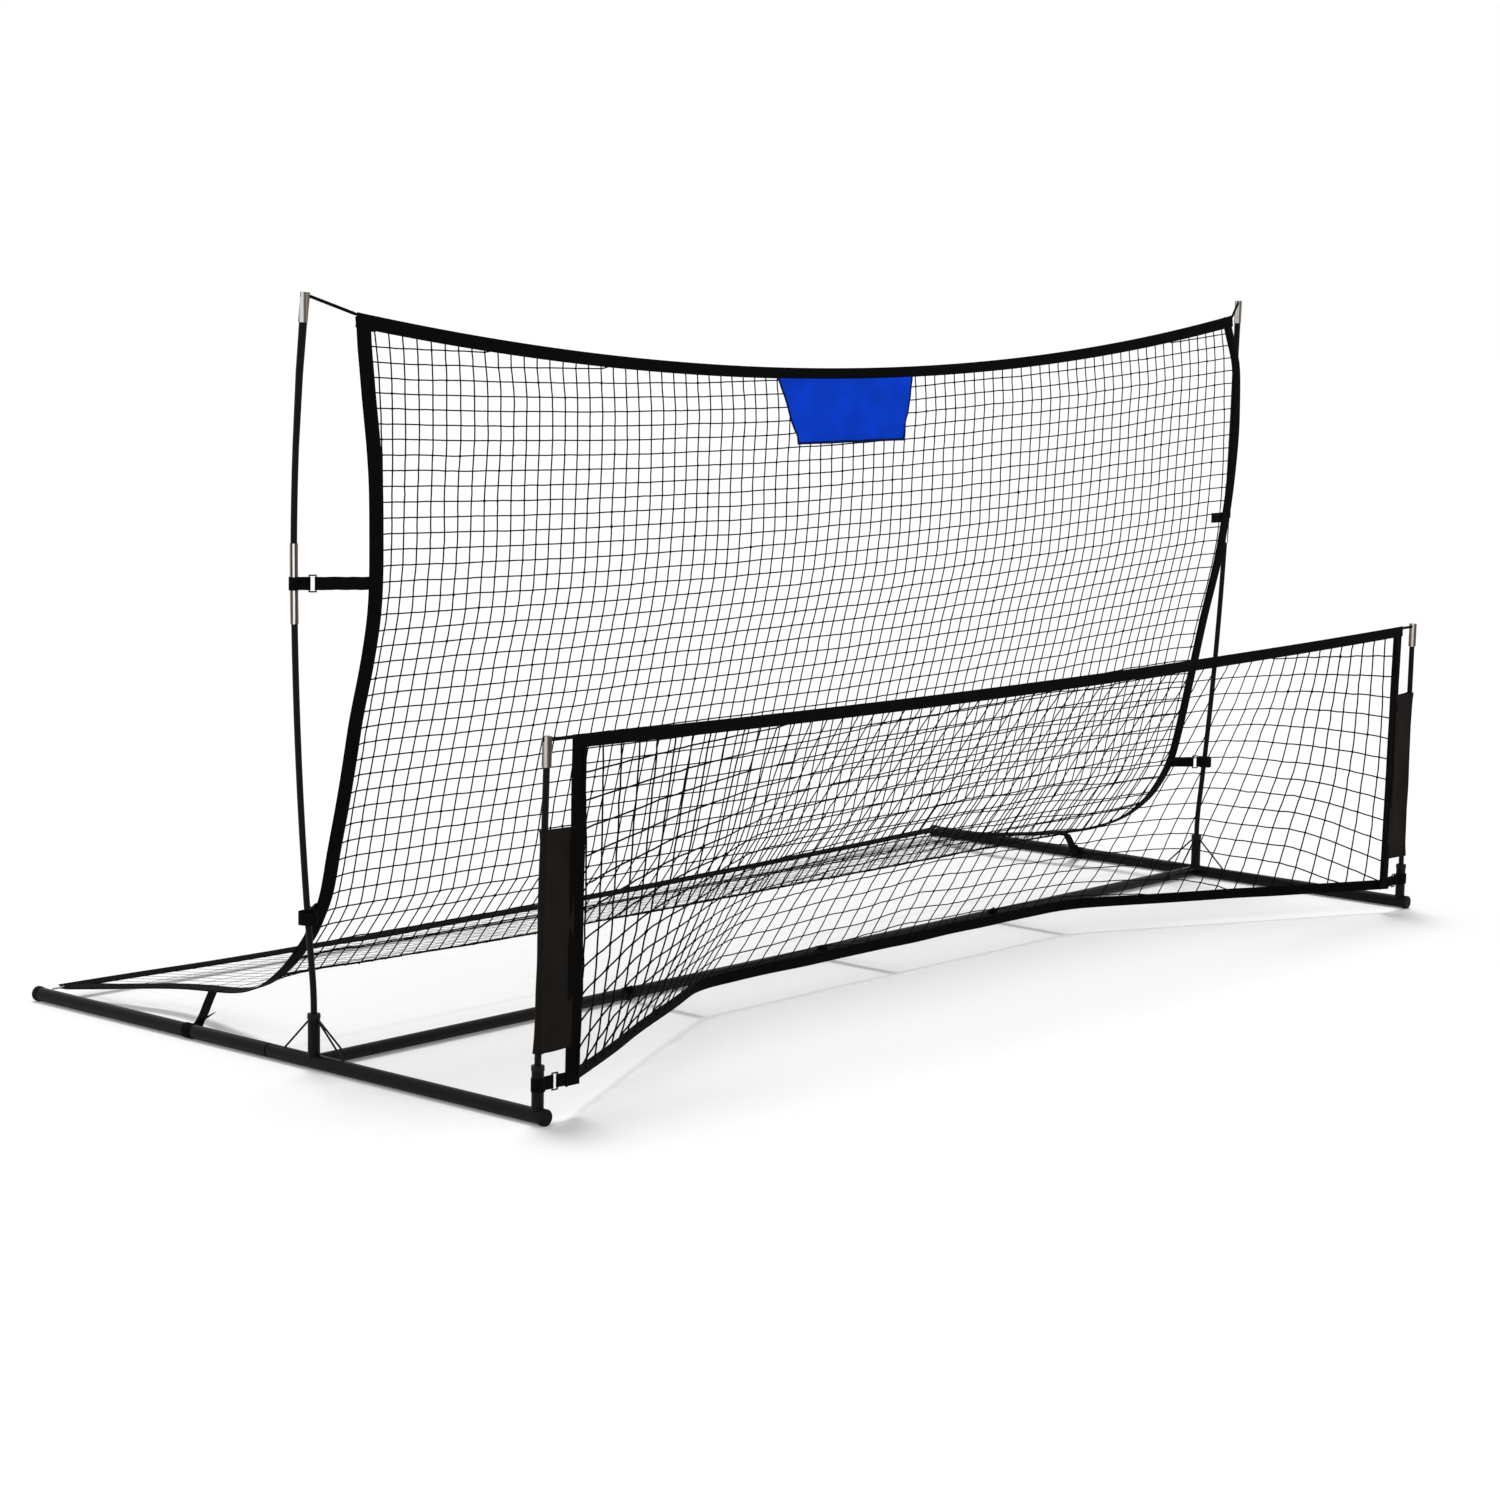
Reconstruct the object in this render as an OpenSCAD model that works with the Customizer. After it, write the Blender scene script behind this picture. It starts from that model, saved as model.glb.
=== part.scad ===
// Two-sided football rebounder: an H-shaped tube base on the ground, a tall bowed net that
// curves into a ramp towards the rear, and a low front net drawn back towards the cross tube.
// Millimetres. +X runs along the cross tube, -Y is the low net's side, +Z is up.
// The origin lies on the ground, below the middle of the frame.

/* [Base frame] */
// Distance between the axes of the two side tubes
frame_width = 3048; // [2600:1:3300]
// Length of each side tube over its caps
frame_depth = 1500; // [1400:1:1650]
// Outer diameter of the side tubes
side_tube_od = 28.6; // [27:0.1:28.8]
// Outer diameter of the cross tube
cross_tube_od = 25.4; // [24:0.1:27]
// Wall of every base tube
tube_wall = 1.5; // [1:0.1:1.8]
// Distance of the cross tube in front of the frame's middle
cross_forward = 119; // [80:1:140]
// Distance of the front sockets behind the front end of the frame
front_socket_inset = 24; // [23:1:40]
// Length of the stub that is welded to each side tube for the cross tube
cross_stub_length = 140; // [120:1:200]
// Length of the middle section of the cross tube
cross_middle_length = 916; // [700:1:1100]
// Distance of the side tubes' joint behind the tall socket
side_joint_behind = 130; // [110:1:180]
// Length of each reduced tube end inside the next tube
spigot_length = 64; // [58:1:90]

/* [End caps] */
// Outer diameter of the rubber end caps
cap_od = 32; // [31.8:0.1:34]
// Length of each end cap
cap_length = 11.5; // [8:0.1:11.8]
// Depth of the flat that each cap stands on
cap_flat = 0.3; // [0.2:0.01:0.32]

/* [Sockets] */
// Outer diameter of the tall sockets
tall_socket_od = 24; // [22:0.1:27]
// Outer diameter of the front sockets
front_socket_od = 23; // [21:0.1:25]
// Height of the sockets' mouths above the ground, over their collars
socket_top = 110; // [100:1:130]
// Height of the collar on each socket
collar_height = 10; // [6:1:14]
// Diameter of the brace rods
brace_rod = 4; // [3:0.1:6]
// Reach of each brace rod along its tube, from the socket's axis
brace_reach = 86; // [60:1:100]

/* [Snap buttons] */
// Diameter of the snap buttons
button_od = 7.6; // [6:0.1:9]
// Height of the snap buttons above the tube
button_proud = 2.5; // [1.5:0.1:3]

/* [Poles] */
// Diameter of all poles
pole_od = 12.7; // [11:0.1:13.5]
// Diameter of the tall poles at their tips
pole_tip_od = 16; // [13:0.1:16.2]
// Length over which the tall poles widen to their tips
pole_taper = 270; // [150:1:320]
// Length of the lower section of each tall pole above its bend
lower_pole_length = 758; // [650:1:900]
// Length of the upper section of each tall pole
upper_pole_length = 530; // [420:1:600]
// Bend of each tall pole above its socket, in degrees
tall_bend = 7.5; // [5:0.1:8.5]
// Radius of the lower section's bow
lower_bow_radius = 7200; // [6000:10:9000]
// Radius of the upper section's bow
upper_bow_radius = 5400; // [4600:10:7000]
// Length of each front pole above its bend
front_pole_length = 573; // [500:1:700]
// Bend of each front pole above its socket, in degrees
front_bend = 1.2; // [0.6:0.1:1.6]
// Outer diameter of the ferrule that joins a tall pole's two sections
ferrule_od = 16; // [15.2:0.1:18]
// Outer diameter of the cap ferrules on the poles' tips
tip_ferrule_od = 18; // [17.6:0.1:19]
// Length of the ferrule that joins a tall pole's two sections
mid_ferrule_length = 152; // [120:1:200]
// Length of the cap ferrule on each pole's tip
tip_ferrule_length = 56; // [45:1:70]

/* [Tall net] */
// Width of the band down each side of the tall net
side_band = 36; // [30:1:46]
// Height of the band along the top of the tall net
top_band = 27; // [20:1:34]
// Width of the band along the rear of the tall net
rear_band = 25; // [18:1:32]
// Thickness of every band
band_thickness = 2.4; // [1.6:0.1:3]
// Distance of the tall net's top corners inwards from the tube axis
top_corner_inset = 39; // [30:1:60]
// Distance of the tall net's top corners in front of the pole's foot
top_corner_forward = 78; // [60:1:90]
// Drop of the tall net's top corners below the pole tips
top_corner_drop = 22; // [18:1:60]
// Sag of the top band at its middle
top_sag = 118; // [60:1:160]
// Height of the tall net's rear corners
rear_corner_height = 27; // [24:1:40]
// Gaps across the tall net
tall_columns = 18; // [12:2:20]

/* [Front net] */
// Width of the band down each side of the front net
front_side_band = 38; // [30:1:44]
// Height of the band along the top of the front net
front_top_band = 25; // [18:1:32]
// Height of the band along the bottom of the front net
bottom_band = 24; // [18:1:30]
// Height of the bottom band's lower edge
bottom_band_height = 57; // [50:1:66]
// Distance from the front pole's axis to the front net's outer edge
front_net_gap = 70; // [66:1:90]
// Sag of the front net's top band at its middle
front_sag = 17; // [0:1:40]
// Length of the bottom band's drawn-back middle
drawn_width = 1294; // [1000:1:1500]
// Distance of the drawn-back middle in front of the cross tube
drawn_gap = 212; // [170:1:260]

/* [Straps and flap] */
// Width of all webbing
webbing = 25; // [20:1:27]
// Thickness of one layer of webbing
webbing_thickness = 1.1; // [0.9:0.1:1.2]
// Wire of the rectangular rings
ring_wire = 3; // [2.4:0.1:3.4]
// Clear length of each ring
ring_slot = 28; // [27.6:0.1:34]
// Distance of the strap between cross tube and bottom band from its neighbour
cross_strap_pitch = 639; // [500:1:640]
// Distance of the ground straps behind the tall socket
ground_strap_behind = 370; // [330:1:420]
// Width of the flap at the top band
flap_top = 464; // [380:1:520]
// Width of the flap at its lower edge
flap_bottom = 360; // [280:1:376]
// Height of the flap
flap_height = 138; // [100:1:170]
// Distance of the flap's middle from the net's middle, towards the left
flap_offset = 46; // [0:1:80]
// Lower end of the pole sleeves above the ground
sleeve_low = 133; // [128:1:160]
// Upper end of the pole sleeves above the ground
sleeve_high = 540; // [400:1:600]

/* [Hidden] */
$fn = 48;

// Gap between soft pieces and what they lie against, and between parts that come apart
gap = 0.3;
// Gap left where a welded or pressed piece meets its tube
weld_gap = 0.1;
// Gap round a pole in its bush, all round
bush_play = 0.4;
// Steps per full turn with which the long pole bows are drawn
bow_steps = 256;

// Base frame
half_width = frame_width / 2;
half_depth = frame_depth / 2;
side_r = side_tube_od / 2;
cross_r = cross_tube_od / 2;
tube_z = cap_od / 2 - cap_flat;
pole_y = -cross_forward;
front_y = -half_depth + front_socket_inset;
joint_y = pole_y + side_joint_behind;
stub_end = half_width - cross_stub_length;
middle_end = cross_middle_length / 2;
spigot_play = 0.1;
neck_length = 5;
cap_wall = 3;
tube_top = tube_z + side_r;

// Sockets and bushes
socket_wall = 1.5;
collar_bottom = socket_top - collar_height;
collar_over = 1;
bush_length = 46;
pole_foot = tube_top + gap;
pole_bore = pole_od / 2 + bush_play;
bend_start = socket_top + 3;
bend_radius = 600;
bend_swell = 0.1;
lap = 1;

// Snap buttons and their clips
button_play = 0.2;
button_set_in = 30;
clip_width = 8;
clip_sheet = 0.8;
clip_bow_reach = 16;
flange_over = 1.2;

// Straps
ring_gap = 10;
mid_ring_at = 35;
lower_ring_at = 25;
corner_ring_at = 41;
corner_strap_z = 74;
cord_od = 4;
tip_slot = 5;
tip_slot_depth = 10;
sleeve_wall = 1.2;
flap_sheet = 1.2;
strand = 3;

// Frames along the poles, as matrices. bend() turns towards the heading h, in degrees about
// the local Z axis, along an arc of radius r and angle a.
function shift(v) = [[1, 0, 0, v[0]], [0, 1, 0, v[1]], [0, 0, 1, v[2]], [0, 0, 0, 1]];
function turn_z(a) = [[cos(a), -sin(a), 0, 0], [sin(a), cos(a), 0, 0], [0, 0, 1, 0], [0, 0, 0, 1]];
function turn_y(a) = [[cos(a), 0, sin(a), 0], [0, 1, 0, 0], [-sin(a), 0, cos(a), 0], [0, 0, 0, 1]];
function bend(h, r, a) =
    turn_z(h) * shift([r, 0, 0]) * turn_y(a) * shift([-r, 0, 0]) * turn_z(-h);
function place(m) = [m[0][3], m[1][3], m[2][3]];
function arc_angle(length, r) = length / r * 180 / PI;

// Headings of the bows of the right-hand tall pole
kink_heading = -11;
lower_heading = 175;
upper_heading = 205;
tall_foot_m = shift([half_width, pole_y, pole_foot]);
tall_kink_m = tall_foot_m * shift([0, 0, bend_start - pole_foot]);
tall_lower_m = tall_kink_m * bend(kink_heading, bend_radius, tall_bend);
lower_angle = arc_angle(lower_pole_length, lower_bow_radius);
tall_joint_m = tall_lower_m * bend(lower_heading, lower_bow_radius, lower_angle);
upper_angle = arc_angle(upper_pole_length, upper_bow_radius);
tall_tip_m = tall_joint_m * bend(upper_heading, upper_bow_radius, upper_angle);
tall_tip = place(tall_tip_m);

// Frames of the right-hand front pole, which leans inwards and forwards
front_lean_heading = 45;
front_kink_m = shift([half_width, front_y, bend_start]) * turn_z(front_lean_heading);
front_rise_m = front_kink_m * bend(180, bend_radius, front_bend);
front_tip_m = front_rise_m * shift([0, 0, front_pole_length]);
front_tip = place(front_tip_m);

// Side edge of the tall net, from the top band down and back to the rear band:
// [distance inwards from the tube axis, y, z]. Heights in the upright part are shares of the
// top corner's height, and places in the ramp are shares of its length.
top_z = tall_tip[2] - top_corner_drop;
net_top_y = pole_y - top_corner_forward;
rear_y = half_depth - 17;
rear_inset = 41;
ramp = rear_y - pole_y;
edge_points = [
    [top_corner_inset, net_top_y, top_z - top_band - gap],
    [34, pole_y - 104, 0.905 * top_z],
    [43, pole_y - 112, 0.77 * top_z],
    [54, pole_y - 92, 0.61 * top_z],
    [52, pole_y - 42, 0.46 * top_z],
    [49, pole_y + 13, 0.295 * top_z],
    [47, pole_y + 50, 0.205 * top_z],
    [44, pole_y + 0.132 * ramp, 0.141 * top_z],
    [48, pole_y + 0.238 * ramp, 132],
    [79, pole_y + 0.385 * ramp, 90],
    [114, pole_y + 0.655 * ramp, 58],
    [rear_inset, rear_y - rear_band - gap, rear_corner_height]
];
edge_steps = len(edge_points) - 1;

// A smooth curve through the edge points, for k from 0 to edge_steps
function edge_point(i) = edge_points[min(max(i, 0), edge_steps)];
function edge_lead(i) =
    i < 0 ? 2 * edge_points[0] - edge_points[1]
    : i > edge_steps ? 2 * edge_points[edge_steps] - edge_points[edge_steps - 1]
    : edge_points[i];
function edge(k) =
    let (i = min(floor(k), edge_steps - 1), s = k - i,
         a = edge_lead(i - 1), b = edge_lead(i), c = edge_lead(i + 1), d = edge_lead(i + 2))
    0.5 * (2 * b + (c - a) * s + (2 * a - 5 * b + 4 * c - d) * s * s
        + (3 * b - a - 3 * c + d) * s * s * s);
function unit(v) = v / norm(v);
// Direction along the edge in the YZ plane, and the normal to it
function edge_along(k) =
    let (e = 0.02, a = edge(max(k - e, 0)), b = edge(min(k + e, edge_steps)))
    unit([0, b[1] - a[1], b[2] - a[2]]);
function edge_normal(k) = cross(edge_along(k), [1, 0, 0]);
// Where along the edge a wanted height or depth is reached, by halving
function find_z(z, lo = 0, hi = 7, n = 24) =
    n == 0 ? (lo + hi) / 2
    : let (m = (lo + hi) / 2) edge(m)[2] > z ? find_z(z, m, hi, n - 1) : find_z(z, lo, m, n - 1);
function find_y(y, lo = 4, hi = edge_steps, n = 24) =
    n == 0 ? (lo + hi) / 2
    : let (m = (lo + hi) / 2) edge(m)[1] < y ? find_y(y, m, hi, n - 1) : find_y(y, lo, m, n - 1);

// Top and rear bands of the tall net
top_half = half_width - top_corner_inset;
function top_edge(x) = top_z - top_sag * (1 - pow(x / top_half, 2));
rear_half = half_width - rear_inset;
rear_bow = 40;
function rear_edge(x) = rear_y - rear_bow * (1 - pow(x / rear_half, 2));

// Front net
// Its side bands lean forwards with the poles, from the bottom corners at front_plane_y
front_plane_y = front_y - 5;
front_lean = atan(tan(front_bend) * sin(front_lean_heading));
front_top_z = front_tip[2] + 12;
front_top_y = front_plane_y - (front_top_z - bottom_band_height - bottom_band) * tan(front_lean);
front_half_top = front_tip[0] - front_net_gap + 10;
front_half_low = half_width - front_net_gap + 2;
front_low_z = bottom_band_height + bottom_band;
function front_edge(x) = front_top_z - front_sag * (1 - pow(x / front_half_top, 2));
drawn_half = drawn_width / 2;
drawn_y = pole_y - drawn_gap;
band_corner_x = front_half_low;
// Front face of the bottom band in plan, at a distance x from the middle
function drawn(x) =
    abs(x) <= drawn_half ? drawn_y
    : drawn_y + (front_plane_y - drawn_y) * (abs(x) - drawn_half) / (band_corner_x - drawn_half);

// ---------------------------------------------------------------- helpers

module both_sides() {
    children();
    mirror([1, 0, 0]) children();
}

// The side of the frame: 1 is right, -1 is left
module on_side(s) {
    if (s > 0) children();
    else mirror([1, 0, 0]) children();
}

module between(a, b, d) {
    v = b - a;
    translate(a)
        rotate([0, acos(v[2] / norm(v)), atan2(v[1], v[0])])
            cylinder(h = norm(v), d = d);
}

// Part of a tube bent to an arc: it starts at the origin along +Z and bends towards heading h
module arc_tube(h, r, a, outer, inner = 0) {
    rotate([0, 0, h])
        translate([r, 0, 0])
            rotate([90, 0, 0])
                rotate([0, 0, 180 - a])
                    rotate_extrude(angle = a, $fn = bow_steps)
                        translate([r, 0])
                            difference() {
                                circle(d = outer, $fn = 48);
                                if (inner > 0) circle(d = inner, $fn = 48);
                            }
}

// A round tube along +Z with a reduced end at the top that plugs into the next tube
module spigot_tube(length, od) {
    r = od / 2;
    spigot_r = r - tube_wall - spigot_play;
    rotate_extrude()
        polygon([
            [r - tube_wall, 0], [r, 0], [r, length - neck_length], [spigot_r, length],
            [spigot_r, length + spigot_length], [spigot_r - tube_wall, length + spigot_length],
            [spigot_r - tube_wall, length], [r - tube_wall, length - neck_length]
        ]);
}

module plain_tube(length, od, wall = tube_wall) {
    difference() {
        cylinder(h = length, d = od);
        translate([0, 0, -1]) cylinder(h = length + 2, d = od - 2 * wall);
    }
}

// Radial hole for a snap button, in a tube along Z, at height z, towards +X
module button_hole(z) {
    translate([0, 0, z]) rotate([0, 90, 0]) cylinder(h = side_tube_od, d = button_od + 2 * button_play);
}

// Sizes of a snap clip in a tube of outer diameter od: bore radius of the spigot, and the
// distances of its leaves from the tube's axis
function spigot_bore(od) = od / 2 - 2 * tube_wall - spigot_play;
function back_leaf(od) = sqrt(pow(spigot_bore(od), 2) - pow(clip_width / 2, 2)) - gap;
function flange_face(od) =
    sqrt(pow(spigot_bore(od), 2) - pow(button_od / 2 + flange_over, 2)) - gap;
clip_flange = 1;
function front_leaf(od) = flange_face(od) - clip_flange;

// Moving part of a snap clip, in a tube along +Z and towards +X: button, flange and leaf
module clip_button(od) {
    tip = od / 2 + button_proud;
    rotate([0, 90, 0]) {
        translate([0, 0, front_leaf(od)])
            cylinder(h = clip_flange, r = button_od / 2 + flange_over);
        translate([0, 0, front_leaf(od)])
            cylinder(h = tip - front_leaf(od) - 1, d = button_od);
        translate([0, 0, tip - 1])
            cylinder(h = 1, d1 = button_od, d2 = button_od - 2);
    }
    translate([front_leaf(od) - clip_sheet, -clip_width / 2, -clip_bow_reach + gap])
        cube([clip_sheet, clip_width, clip_bow_reach + button_od / 2 - gap]);
}

// Fixed part of a snap clip: the leaf on the far wall and the bow that joins the two leaves
module clip_spring(od) {
    low = -back_leaf(od);
    high = front_leaf(od);
    bow = (high - low) / 2;
    translate([low, -clip_width / 2, -clip_bow_reach])
        cube([clip_sheet, clip_width, clip_bow_reach + button_od]);
    translate([(low + high) / 2, clip_width / 2, -clip_bow_reach])
        rotate([90, 0, 0])
            rotate([0, 0, 180])
                linear_extrude(clip_width)
                    difference() {
                        circle(r = bow);
                        circle(r = bow - clip_sheet);
                        translate([-bow - 1, -2 * bow]) square([2 * bow + 2, 2 * bow]);
                    }
}

// ---------------------------------------------------------------- base frame

module at_side_tube(y) {
    translate([half_width, y, tube_z]) rotate([-90, 0, 0]) children();
}

module side_tube_front(s) color([0.09, 0.09, 0.1])
    on_side(s)
        difference() {
            at_side_tube(-half_depth + cap_wall)
                spigot_tube(joint_y + half_depth - cap_wall, side_tube_od);
            at_side_tube(joint_y) rotate([0, 0, 180]) button_hole(button_set_in);
        }

module side_tube_rear(s) color([0.09, 0.09, 0.1])
    on_side(s)
        difference() {
            at_side_tube(joint_y + weld_gap)
                plain_tube(half_depth - cap_wall - joint_y - weld_gap, side_tube_od);
            at_side_tube(joint_y) rotate([0, 0, 180]) button_hole(button_set_in);
        }

// Along the cross tube: the children's +Z points to the right, and their +X up
module at_cross_tube(x) {
    translate([x, pole_y, tube_z]) rotate([0, 90, 0]) rotate([0, 0, 90]) children();
}

module side_tube_space() {
    at_side_tube(-half_depth) cylinder(h = frame_depth, r = side_r + weld_gap);
}

// Short tubes welded to the side tubes, each open to the cross tube's reduced end
module cross_stubs() color([0.09, 0.09, 0.1])
    both_sides()
        difference() {
            at_cross_tube(stub_end) plain_tube(cross_stub_length, cross_tube_od);
            side_tube_space();
            at_cross_tube(stub_end) button_hole(button_set_in);
        }

module cross_tube_outer(s) color([0.09, 0.09, 0.1])
    on_side(s)
        difference() {
            at_cross_tube(middle_end + weld_gap)
                spigot_tube(stub_end - middle_end - 2 * weld_gap, cross_tube_od);
            at_cross_tube(stub_end) button_hole(button_set_in);
            at_cross_tube(middle_end) button_hole(button_set_in);
        }

module cross_tube_middle() color([0.09, 0.09, 0.1])
    difference() {
        both_sides() at_cross_tube(0) spigot_tube(middle_end, cross_tube_od);
        both_sides() at_cross_tube(middle_end) button_hole(button_set_in);
    }

// A socket, with its foot cut to the tubes that it is welded to
module socket(y, od) {
    difference() {
        translate([half_width, y, tube_z]) cylinder(h = collar_bottom - tube_z, d = od);
        translate([half_width, y, tube_z - 1])
            cylinder(h = collar_bottom - tube_z + 2, d = od - 2 * socket_wall);
        side_tube_space();
        at_cross_tube(stub_end) cylinder(h = cross_stub_length, r = cross_r + weld_gap);
    }
}

module tall_socket(s) color([0.09, 0.09, 0.1]) on_side(s) socket(pole_y, tall_socket_od);
module front_socket(s) color([0.09, 0.09, 0.1]) on_side(s) socket(front_y, front_socket_od);

module bush(y, od) {
    sleeve = od - 2 * socket_wall - 2 * weld_gap;
    translate([half_width, y, collar_bottom + weld_gap])
        difference() {
            union() {
                cylinder(h = collar_height - 1 - weld_gap, d = od + 2 * collar_over);
                translate([0, 0, collar_height - 1 - weld_gap])
                    cylinder(h = 1, d1 = od + 2 * collar_over, d2 = od + 2 * collar_over - 2);
                translate([0, 0, -bush_length]) cylinder(h = bush_length + 1, d = sleeve);
            }
            translate([0, 0, -bush_length - 1])
                cylinder(h = bush_length + collar_height + 2, r = pole_bore);
        }
}

module tall_bushes() color([0.05, 0.05, 0.05]) both_sides() bush(pole_y, tall_socket_od);
module front_bushes() color([0.05, 0.05, 0.05]) both_sides() bush(front_y, front_socket_od);

// Three thin rods that brace a tall socket: rearwards, forwards and along the cross tube
module brace_rods(s) color([0.09, 0.09, 0.1])
    on_side(s) {
        high = collar_bottom - brace_rod;
        top = [half_width, pole_y, high + tall_socket_od / 2];
        feet = [
            [half_width, pole_y + brace_reach, tube_z + side_r - 2],
            [half_width, pole_y - brace_reach, tube_z + side_r - 2],
            [half_width - brace_reach + 14, pole_y, tube_z + cross_r - 2]
        ];
        difference() {
            for (foot = feet) between(top, foot, brace_rod);
            translate([half_width, pole_y, 0])
                cylinder(h = 2 * socket_top, d = tall_socket_od + 2 * weld_gap);
            side_tube_space();
            at_cross_tube(stub_end) cylinder(h = cross_stub_length, r = cross_r + weld_gap);
        }
    }

// Slip-on caps with a domed end, cut flat where they stand on the ground
module end_cap() {
    dome = 3;
    difference() {
        at_side_tube(half_depth - cap_length)
            difference() {
                rotate_extrude()
                    polygon([
                        [0, cap_length], [0, 0], [cap_od / 2, 0],
                        [cap_od / 2, cap_length - dome],
                        for (a = [15:15:75])
                            [cap_od / 2 - dome + dome * cos(a), cap_length - dome + dome * sin(a)],
                        [cap_od / 2 - dome, cap_length]
                    ]);
                translate([0, 0, -1])
                    cylinder(h = cap_length - cap_wall + 1 + weld_gap, r = side_r + weld_gap);
            }
        translate([0, 0, -cap_od]) cube([2 * frame_width, 2 * frame_depth, 2 * cap_od], center = true);
    }
}

module end_caps() color([0.06, 0.06, 0.06])
    both_sides() {
        end_cap();
        mirror([0, 1, 0]) end_cap();
    }

module at_side_button() {
    at_side_tube(joint_y + button_set_in) rotate([0, 0, 180]) children();
}

module side_button(s) color([0.7, 0.7, 0.7]) on_side(s) at_side_button() clip_button(side_tube_od);
module outer_button(s) color([0.7, 0.7, 0.7])
    on_side(s) at_cross_tube(stub_end + button_set_in) clip_button(cross_tube_od);
module inner_button(s) color([0.7, 0.7, 0.7])
    on_side(s) at_cross_tube(middle_end + button_set_in) clip_button(cross_tube_od);

module clip_springs() color([0.6, 0.6, 0.62])
    both_sides() {
        at_side_button() clip_spring(side_tube_od);
        at_cross_tube(stub_end + button_set_in) clip_spring(cross_tube_od);
        at_cross_tube(middle_end + button_set_in) clip_spring(cross_tube_od);
    }

// ---------------------------------------------------------------- straps and rings

// Webbing from a loop round a post to a rectangular ring, in plan, along +X from the post.
// post_r is the post's radius and ring_at the ring's middle.
ring_r = ring_wire / 2;
ring_half = (ring_gap + ring_wire) / 2;
fold_in = ring_r + gap;
double = 2 * webbing_thickness;
module loop_outline(post_r, ring_at) {
    bar = ring_at - ring_half;
    difference() {
        union() {
            circle(r = post_r + gap + webbing_thickness);
            translate([0, -double / 2]) square([bar, double]);
            translate([bar, 0]) circle(r = fold_in + webbing_thickness);
        }
        circle(r = post_r + gap);
        translate([bar, 0]) circle(r = fold_in);
    }
}

// Webbing from the ring's far bar to the net's band, at a distance reach from the post
module tail_outline(ring_at, reach) {
    bar = ring_at + ring_half;
    difference() {
        union() {
            translate([bar, 0]) circle(r = fold_in + webbing_thickness);
            translate([bar, -double / 2]) square([reach - bar, double]);
        }
        translate([bar, 0]) circle(r = fold_in);
    }
}

module webbing_strap(post_r, ring_at, reach) {
    translate([0, 0, -webbing / 2])
        linear_extrude(webbing) {
            loop_outline(post_r, ring_at);
            tail_outline(ring_at, reach);
        }
}

module ring(ring_at) {
    corner_z = ring_slot / 2 + ring_r;
    translate([ring_at, 0, 0]) {
        for (x = [-ring_half, ring_half]) {
            translate([x, 0, -corner_z]) cylinder(h = 2 * corner_z, d = ring_wire);
            for (z = [-corner_z, corner_z]) translate([x, 0, z]) sphere(d = ring_wire);
        }
        for (z = [-corner_z, corner_z])
            translate([-ring_half, 0, z]) rotate([0, 90, 0]) cylinder(h = 2 * ring_half, d = ring_wire);
    }
}

// Puts a strap on the right-hand side with its loop at a post and its end at a point
module strap_frame(post, end) {
    v = end - post;
    translate(post) rotate([0, 0, atan2(v[1], v[0])]) children();
}
function flat_reach(post, end) = norm([end[0] - post[0], end[1] - post[1]]);

// Mid strap: round the mid ferrule, to the side band level with it
mid_post = place(tall_joint_m);
mid_edge = edge(find_z(mid_post[2]));
mid_end = [half_width - mid_edge[0], mid_edge[1], mid_post[2]];
// The ferrule leans by a few degrees in the upright loop
mid_loop = ferrule_od / 2 + webbing / 2 * tan(3);
module mid_straps() color([0.05, 0.05, 0.05])
    both_sides()
        strap_frame(mid_post, mid_end)
            webbing_strap(mid_loop, mid_ring_at, flat_reach(mid_post, mid_end) - 1.5);
module mid_strap_rings() color([0.62, 0.62, 0.64])
    both_sides() strap_frame(mid_post, mid_end) ring(mid_ring_at);

// Lower strap: round the pole itself
lower_at = 110;
lower_post_m = tall_lower_m * bend(lower_heading, lower_bow_radius, arc_angle(lower_at, lower_bow_radius));
lower_post = place(lower_post_m);
lower_edge = edge(find_z(lower_post[2]));
lower_end = [half_width - lower_edge[0], lower_edge[1], lower_post[2]];
lower_loop = pole_od / 2 + webbing / 2 * tan(tall_bend);
module lower_straps() color([0.05, 0.05, 0.05])
    both_sides()
        strap_frame(lower_post, lower_end)
            webbing_strap(lower_loop, lower_ring_at, flat_reach(lower_post, lower_end) - 2);
module lower_strap_rings() color([0.62, 0.62, 0.64])
    both_sides() strap_frame(lower_post, lower_end) ring(lower_ring_at);

// Corner strap: round the front socket, to the front net's lower corner
corner_post = [half_width, front_y, corner_strap_z];
corner_end = [front_half_low, front_plane_y, corner_strap_z];
module front_corner_straps() color([0.05, 0.05, 0.05])
    both_sides()
        strap_frame(corner_post, corner_end)
            webbing_strap(front_socket_od / 2, corner_ring_at,
                          flat_reach(corner_post, corner_end) - band_thickness);
module front_corner_rings() color([0.62, 0.62, 0.64])
    both_sides() strap_frame(corner_post, corner_end) ring(corner_ring_at);

// Strap round a lying tube, drawn across it: u is level and v is up, from the tube's axis.
// It leads from the tube's crown to the point [u, v].
module tube_strap_outline(tube_r, end) {
    inner = tube_r + 0.2;
    outer = inner + webbing_thickness;
    reach = norm(end);
    lift = asin((inner + webbing_thickness / 2) / reach);
    lead = atan2(end[1], end[0]) + lift;
    difference() {
        union() {
            circle(r = outer);
            rotate(lead)
                translate([0, -outer])
                    square([sqrt(reach * reach - inner * inner), webbing_thickness]);
        }
        circle(r = inner);
    }
}

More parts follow.
